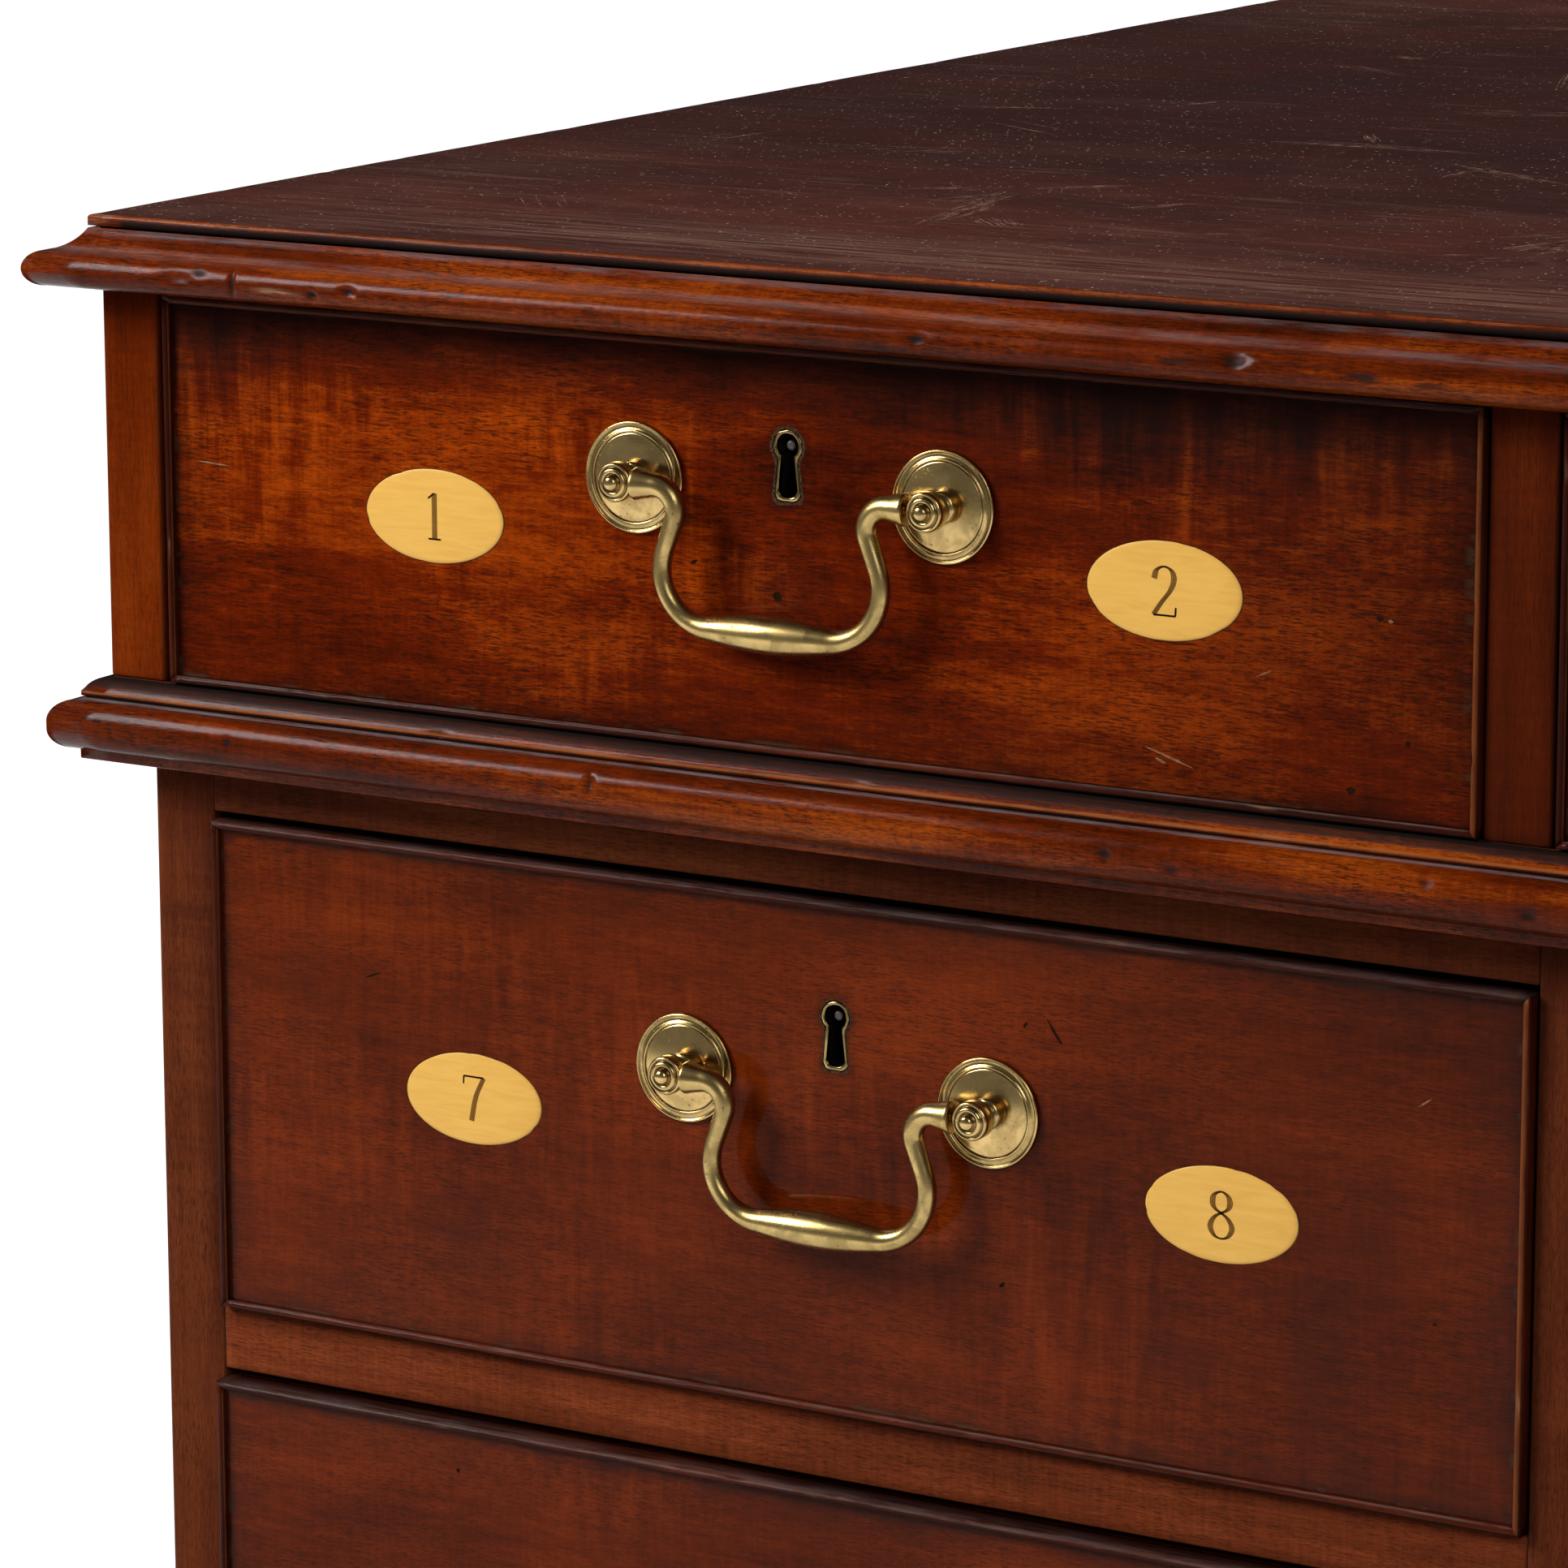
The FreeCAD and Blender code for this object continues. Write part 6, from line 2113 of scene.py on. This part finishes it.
        shell.ring_wall([loop(1.014, 0.4), loop(1.014, -0.02), loop(0.99, -0.03)], 3)
        steps_in = ((0.999, 0.4), (0.999, -0.04), (0.985, -0.16), (0.93, -0.22), (0.6, -0.26), (0.3, -0.27))
        rows = [loop(scale, y) for scale, y in steps_in]
        shell.ring_wall(rows, 0, smooth=True, edge=(1, 1, 0.7, 0.15, 0, 0))
        shell.fill([rows[-1]], (0, -1, 0), 0)

    @staticmethod
    def add_number(shell: Shell, middle: np.ndarray, ribbons: Sequence[np.ndarray]) -> None:
        """Engraved strokes: a brown wash in the thick parts and fine dark lines along them.

        Args:
            shell: piece that receives them.
            middle: middle of the plate.
            ribbons: rows (x, y, width) of each stroke.
        """
        for ribbon in ribbons:
            step = np.gradient(ribbon[:, :2], axis=0)
            step /= np.maximum(np.linalg.norm(step, axis=1), TINY)[:, None]
            across = np.stack([-step[:, 1], step[:, 0]], 1)
            lines = (-0.43, -0.12, 0.14, 0.43)
            bands = [(-0.5, 0.5, 2, -0.285)] + [(place - 0.07, place + 0.07, 1, -0.30) for place in lines]
            for low, high, finish, y in bands:
                width = ribbon[:, 2:]
                thin = np.maximum(width * (high - low), 0.24) if finish == 1 else width * (high - low)
                centre = ribbon[:, :2] + across * width * (low + high) / 2
                left, right = centre - across * thin / 2, centre + across * thin / 2
                count = len(ribbon)
                rows = np.vstack([left, right]) + middle
                points = np.column_stack([rows[:, 0], np.full(2 * count, y), rows[:, 1]])
                faces = [[i + count, i, i + 1, i + count + 1] for i in range(count - 1)]
                shell.add(points, faces, finish, False)


# Doors


@dataclass
class Door:
    """A framed cupboard door at the back of a pedestal."""

    name: str
    side: int
    outside: float = 461.0
    thickness: float = 20.0
    stile: float = 65.0
    bottom_rail: float = 80.0
    panel: float = 9.0
    panel_inset: float = 6.0
    keyhole: float = 405.0

    def build(self, handle: Handle) -> None:
        """Build the frame, the panel and a black patch of painted shade for the inside of the keyhole.

        Args:
            handle: sizes of the handle.
        """
        node = f"{self.name}_door"
        low, high = (np.array(corner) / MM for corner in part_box(node))
        shell = Shell(f"{self.name}_door_framed")
        back = self.outside - self.thickness
        left, right = low[0], high[0]
        for start, end in ((left, left + self.stile), (right - self.stile, right)):
            shell.board((start, back, low[2]), (end, self.outside, high[2]), Axis.Z, 0, 1)
        for start, end in ((low[2], low[2] + self.bottom_rail), (high[2] - self.stile, high[2])):
            shell.board((left + self.stile, back, start), (right - self.stile, self.outside, end), Axis.X, 0, 1)
        inner = ((left + self.stile, low[2] + self.bottom_rail), (right - self.stile, high[2] - self.stile))
        face = self.outside - self.panel_inset
        shell.board((inner[0][0], face - self.panel, inner[0][1]), (inner[1][0], face, inner[1][1]), Axis.Z, 1)
        self.panel_moulding(shell, inner, face)
        put(f"{self.name}_door_framed", shell.mesh([STILE, PEDESTAL_FRONT]), node, [node])
        free = left if self.side > 0 else right
        x = free + self.side * self.stile / 2
        # A black patch painted as the shade inside the keyhole
        dark = Shell(f"{self.name}_door_keyhole_shade")
        ring = handle.keyhole_ring(0.05, self.outside + 0.06, self.keyhole)
        dark.fill([ring * (-1, 1, 1) + (x, 0, 0)], (0, 1, 0), 0)
        put(f"{self.name}_door_keyhole_shade", dark.mesh([KEYHOLE_SHADE]), node)
        dress(f"{node}_fittings", BRASS)

    @staticmethod
    def panel_moulding(shell: Shell, inner: tuple[Pair, Pair], face: float) -> None:
        """A small bead round the sunk panel, mitred at its corners.

        Args:
            shell: the door.
            inner: lower and upper corner of the panel as (x, z).
            face: depth of the panel's face.
        """
        (x0, z0), (x1, z1) = inner
        middle_x, middle_z, width, height = (x0 + x1) / 2, (z0 + z1) / 2, x1 - x0, z1 - z0
        outline = [(0, 0)] + [(-x, y) for x, y in arc((0, 0), 5, 0, 90, 8)]
        lengths = (((middle_x, face, z1), (-1, 0, 0), (0, 0, 1), width),
                   ((middle_x, face, z0), (1, 0, 0), (0, 0, -1), width),
                   ((x0, face, middle_z), (0, 0, 1), (-1, 0, 0), height),
                   ((x1, face, middle_z), (0, 0, -1), (1, 0, 0), height))
        for middle, along, outward, length in lengths:
            shell.sweep(outline, middle, along, outward, (0, 1, 0), length, 20, 0, margin=8)


# Studio


@dataclass
class Studio:
    """Camera, floor, lamps and background."""

    camera_place: Point = (0.4018, -2.0325, 1.0283)
    yaw: float = 31.0
    pitch: float = 12.11
    roll: float = -0.17
    focal_pixels: float = 8102.0
    sensor_width: float = 36.0
    room: Colour = (0.086, 0.085, 0.084)

    def build(self) -> None:
        """Set up the whole studio."""
        self.camera()
        self.floor()
        self.lamps()
        self.world()
        bpy.context.scene.view_settings.view_transform = "Standard"

    def camera(self) -> None:
        """The camera of the photograph."""
        yaw, pitch, roll = (math.radians(angle) for angle in (self.yaw, self.pitch, self.roll))
        forward = Vector((-math.sin(yaw) * math.cos(pitch), math.cos(yaw) * math.cos(pitch), -math.sin(pitch)))
        level = Vector((math.cos(yaw), math.sin(yaw), 0))
        upright = level.cross(forward)
        right = math.cos(roll) * level + math.sin(roll) * upright
        up = -math.sin(roll) * level + math.cos(roll) * upright
        data = bpy.data.cameras.new("camera")
        data.sensor_fit = "HORIZONTAL"
        data.sensor_width = self.sensor_width
        data.lens = self.focal_pixels / IMAGE_SIZE * self.sensor_width
        data.clip_start, data.clip_end = 0.01, 100.0
        camera = link_object("camera", data)
        turn = Matrix((right, up, -forward)).transposed().to_4x4()
        camera.matrix_world = Matrix.Translation(self.camera_place) @ turn
        bpy.context.scene.camera = camera

    @staticmethod
    def floor() -> None:
        """A plain pale floor that shows white where the lamps reach it and keeps the desk's shadow."""
        mesh = bpy.data.meshes.new("floor")
        reach = 30.0
        corners = [(-reach, -reach, 0), (reach, -reach, 0), (reach, reach, 0), (-reach, reach, 0)]
        mesh.from_pydata(corners, [], [(0, 1, 2, 3)])
        bench = NodeBench("pale_floor")
        cloud = bench.noise((0.8, 0.8, 0.8), 3)
        bench.set(Base_Color=bench.blend(cloud, (0.46, 0.46, 0.46), (0.50, 0.50, 0.50)), Roughness=0.9)
        path = bench.node("ShaderNodeLightPath", {})
        distance = bench.node("ShaderNodeVectorMath", {0: bench.vector}, operation="LENGTH").outputs["Value"]
        shown = bench.math("MAXIMUM", path.outputs["Is Glossy Ray"], path.outputs["Is Transmission Ray"])
        shown = bench.times(shown, bench.band(distance, 1.8, 4.2, 1, 0.15))
        shown = bench.math("MAXIMUM", shown, path.outputs["Is Camera Ray"])
        glow = bench.band(distance, 0.9, 2.6, 0.62, 1)
        bench.set(Emission_Color=(1, 1, 1), Emission_Strength=bench.times(shown, glow))
        mesh.materials.append(bench.material)
        link_object("floor", mesh)

    def lamps(self) -> None:
        """A soft lamp from the left, a weaker one from the right front, one from above and one for the back."""
        self.lamp("key", (-2.30, -1.80, 2), (-0.50, -0.47, 0.66), 1, 80)
        self.lamp("fill", (2.2, -3, 2.7), (0.1, -0.3, 0.5), 2, 41)
        self.lamp("overhead", (0.3, 1.2, 3.2), (0, 0, 0.7), 2, 26)
        self.lamp("back", (1.6, 3.4, 2), (0, 0.4, 0.5), 2.4, 62)

    @staticmethod
    def lamp(name: str, place: Point, target: Point, size: float, power: float) -> None:
        """A square soft lamp that looks at a target.

        Args:
            name: its name.
            place: its place in metres.
            target: what it looks at.
            size: side of the square.
            power: strength in watts.
        """
        data = bpy.data.lights.new(name, "AREA")
        data.size = size
        data.energy = power
        lamp = link_object(name, data)
        lamp.location = place
        lamp.rotation_euler = (Vector(target) - Vector(place)).to_track_quat("-Z", "Y").to_euler()

    def world(self) -> None:
        """White for the camera and, up to a low backdrop's height, for reflections; a dim room elsewhere."""
        world = bpy.data.worlds.new("studio")
        bpy.context.scene.world = world
        world.use_nodes = True
        table = NodeTable(world.node_tree)
        path = table.node("ShaderNodeLightPath", {}).outputs
        direction = table.node("ShaderNodeTexCoord", {}).outputs["Generated"]
        rise = table.node("ShaderNodeSeparateXYZ", {0: direction}).outputs["Z"]
        fade = {"Value": rise, "From Min": 0.04, "From Max": 0.14, "To Min": 0.235, "To Max": 0.0}
        backdrop = table.node("ShaderNodeMapRange", fade).outputs[0]
        shine = table.math("MAXIMUM", path["Is Glossy Ray"], path["Is Transmission Ray"])
        seen = table.math("MAXIMUM", path["Is Camera Ray"], table.times(shine, backdrop))
        room = table.node("ShaderNodeBackground", {"Color": self.room}).outputs[0]
        white = table.node("ShaderNodeBackground", {"Color": (1, 1, 1), "Strength": 1.0}).outputs[0]
        mix = table.node("ShaderNodeMixShader", {0: seen, 1: room, 2: white}).outputs[0]
        table.node("ShaderNodeOutputWorld", {"Surface": mix})


def drawer_list() -> list[Drawer]:
    """All drawers with the first of the two numbers on each.

    Returns:
        The drawers, front before back.
    """
    places, levels = ("left", "centre", "right"), ("upper", "middle", "lower")
    names = [(f"front_{place}_frieze_drawer", Row.FRIEZE) for place in places]
    names += [(f"{side}_{level}_drawer", Row.PEDESTAL) for side in ("left", "right") for level in levels]
    names += [(f"back_{place}_frieze_drawer", Row.FRIEZE) for place in places]
    return [Drawer(name, row, 1 + 2 * number) for number, (name, row) in enumerate(names)]


def fitting_meshes(handle: Handle) -> dict[Row, Mesh]:
    """Posts and lock of a drawer front, for the frieze and for the pedestals.

    Args:
        handle: sizes of the handle.

    Returns:
        One mesh for each row, about the middle of the handle.
    """
    post = link_object("post_pattern", handle.post_mesh())
    carrier = link_object("post_pair", bpy.data.meshes.new("post_pair"))
    inputs = {"Piece": post, "Spacing": handle.spacing * MM, "Finish": stock(BRASS)}
    posts = NodeForge.bake(carrier, NodeForge.pair_tree(), inputs)
    bpy.data.objects.remove(post)
    return {row: join_meshes(f"fittings_{row.value}", [posts, handle.lock_mesh(row)]) for row in Row}


def main() -> None:
    """Build the desk's looks piece by piece and set up the studio."""
    logging.basicConfig(level=logging.INFO, format="%(name)s: %(message)s")
    noise.seed_set(NOISE_SEED)
    handle = Handle()
    Carcase().build()
    fittings = fitting_meshes(handle)
    bail = handle.bail_mesh()
    for drawer in drawer_list():
        drawer.build(handle, fittings, bail)
    for name, side in (("left", -1), ("right", 1)):
        Door(name, side).build(handle)
    Studio().build()


if __name__ == "__main__":
    main()
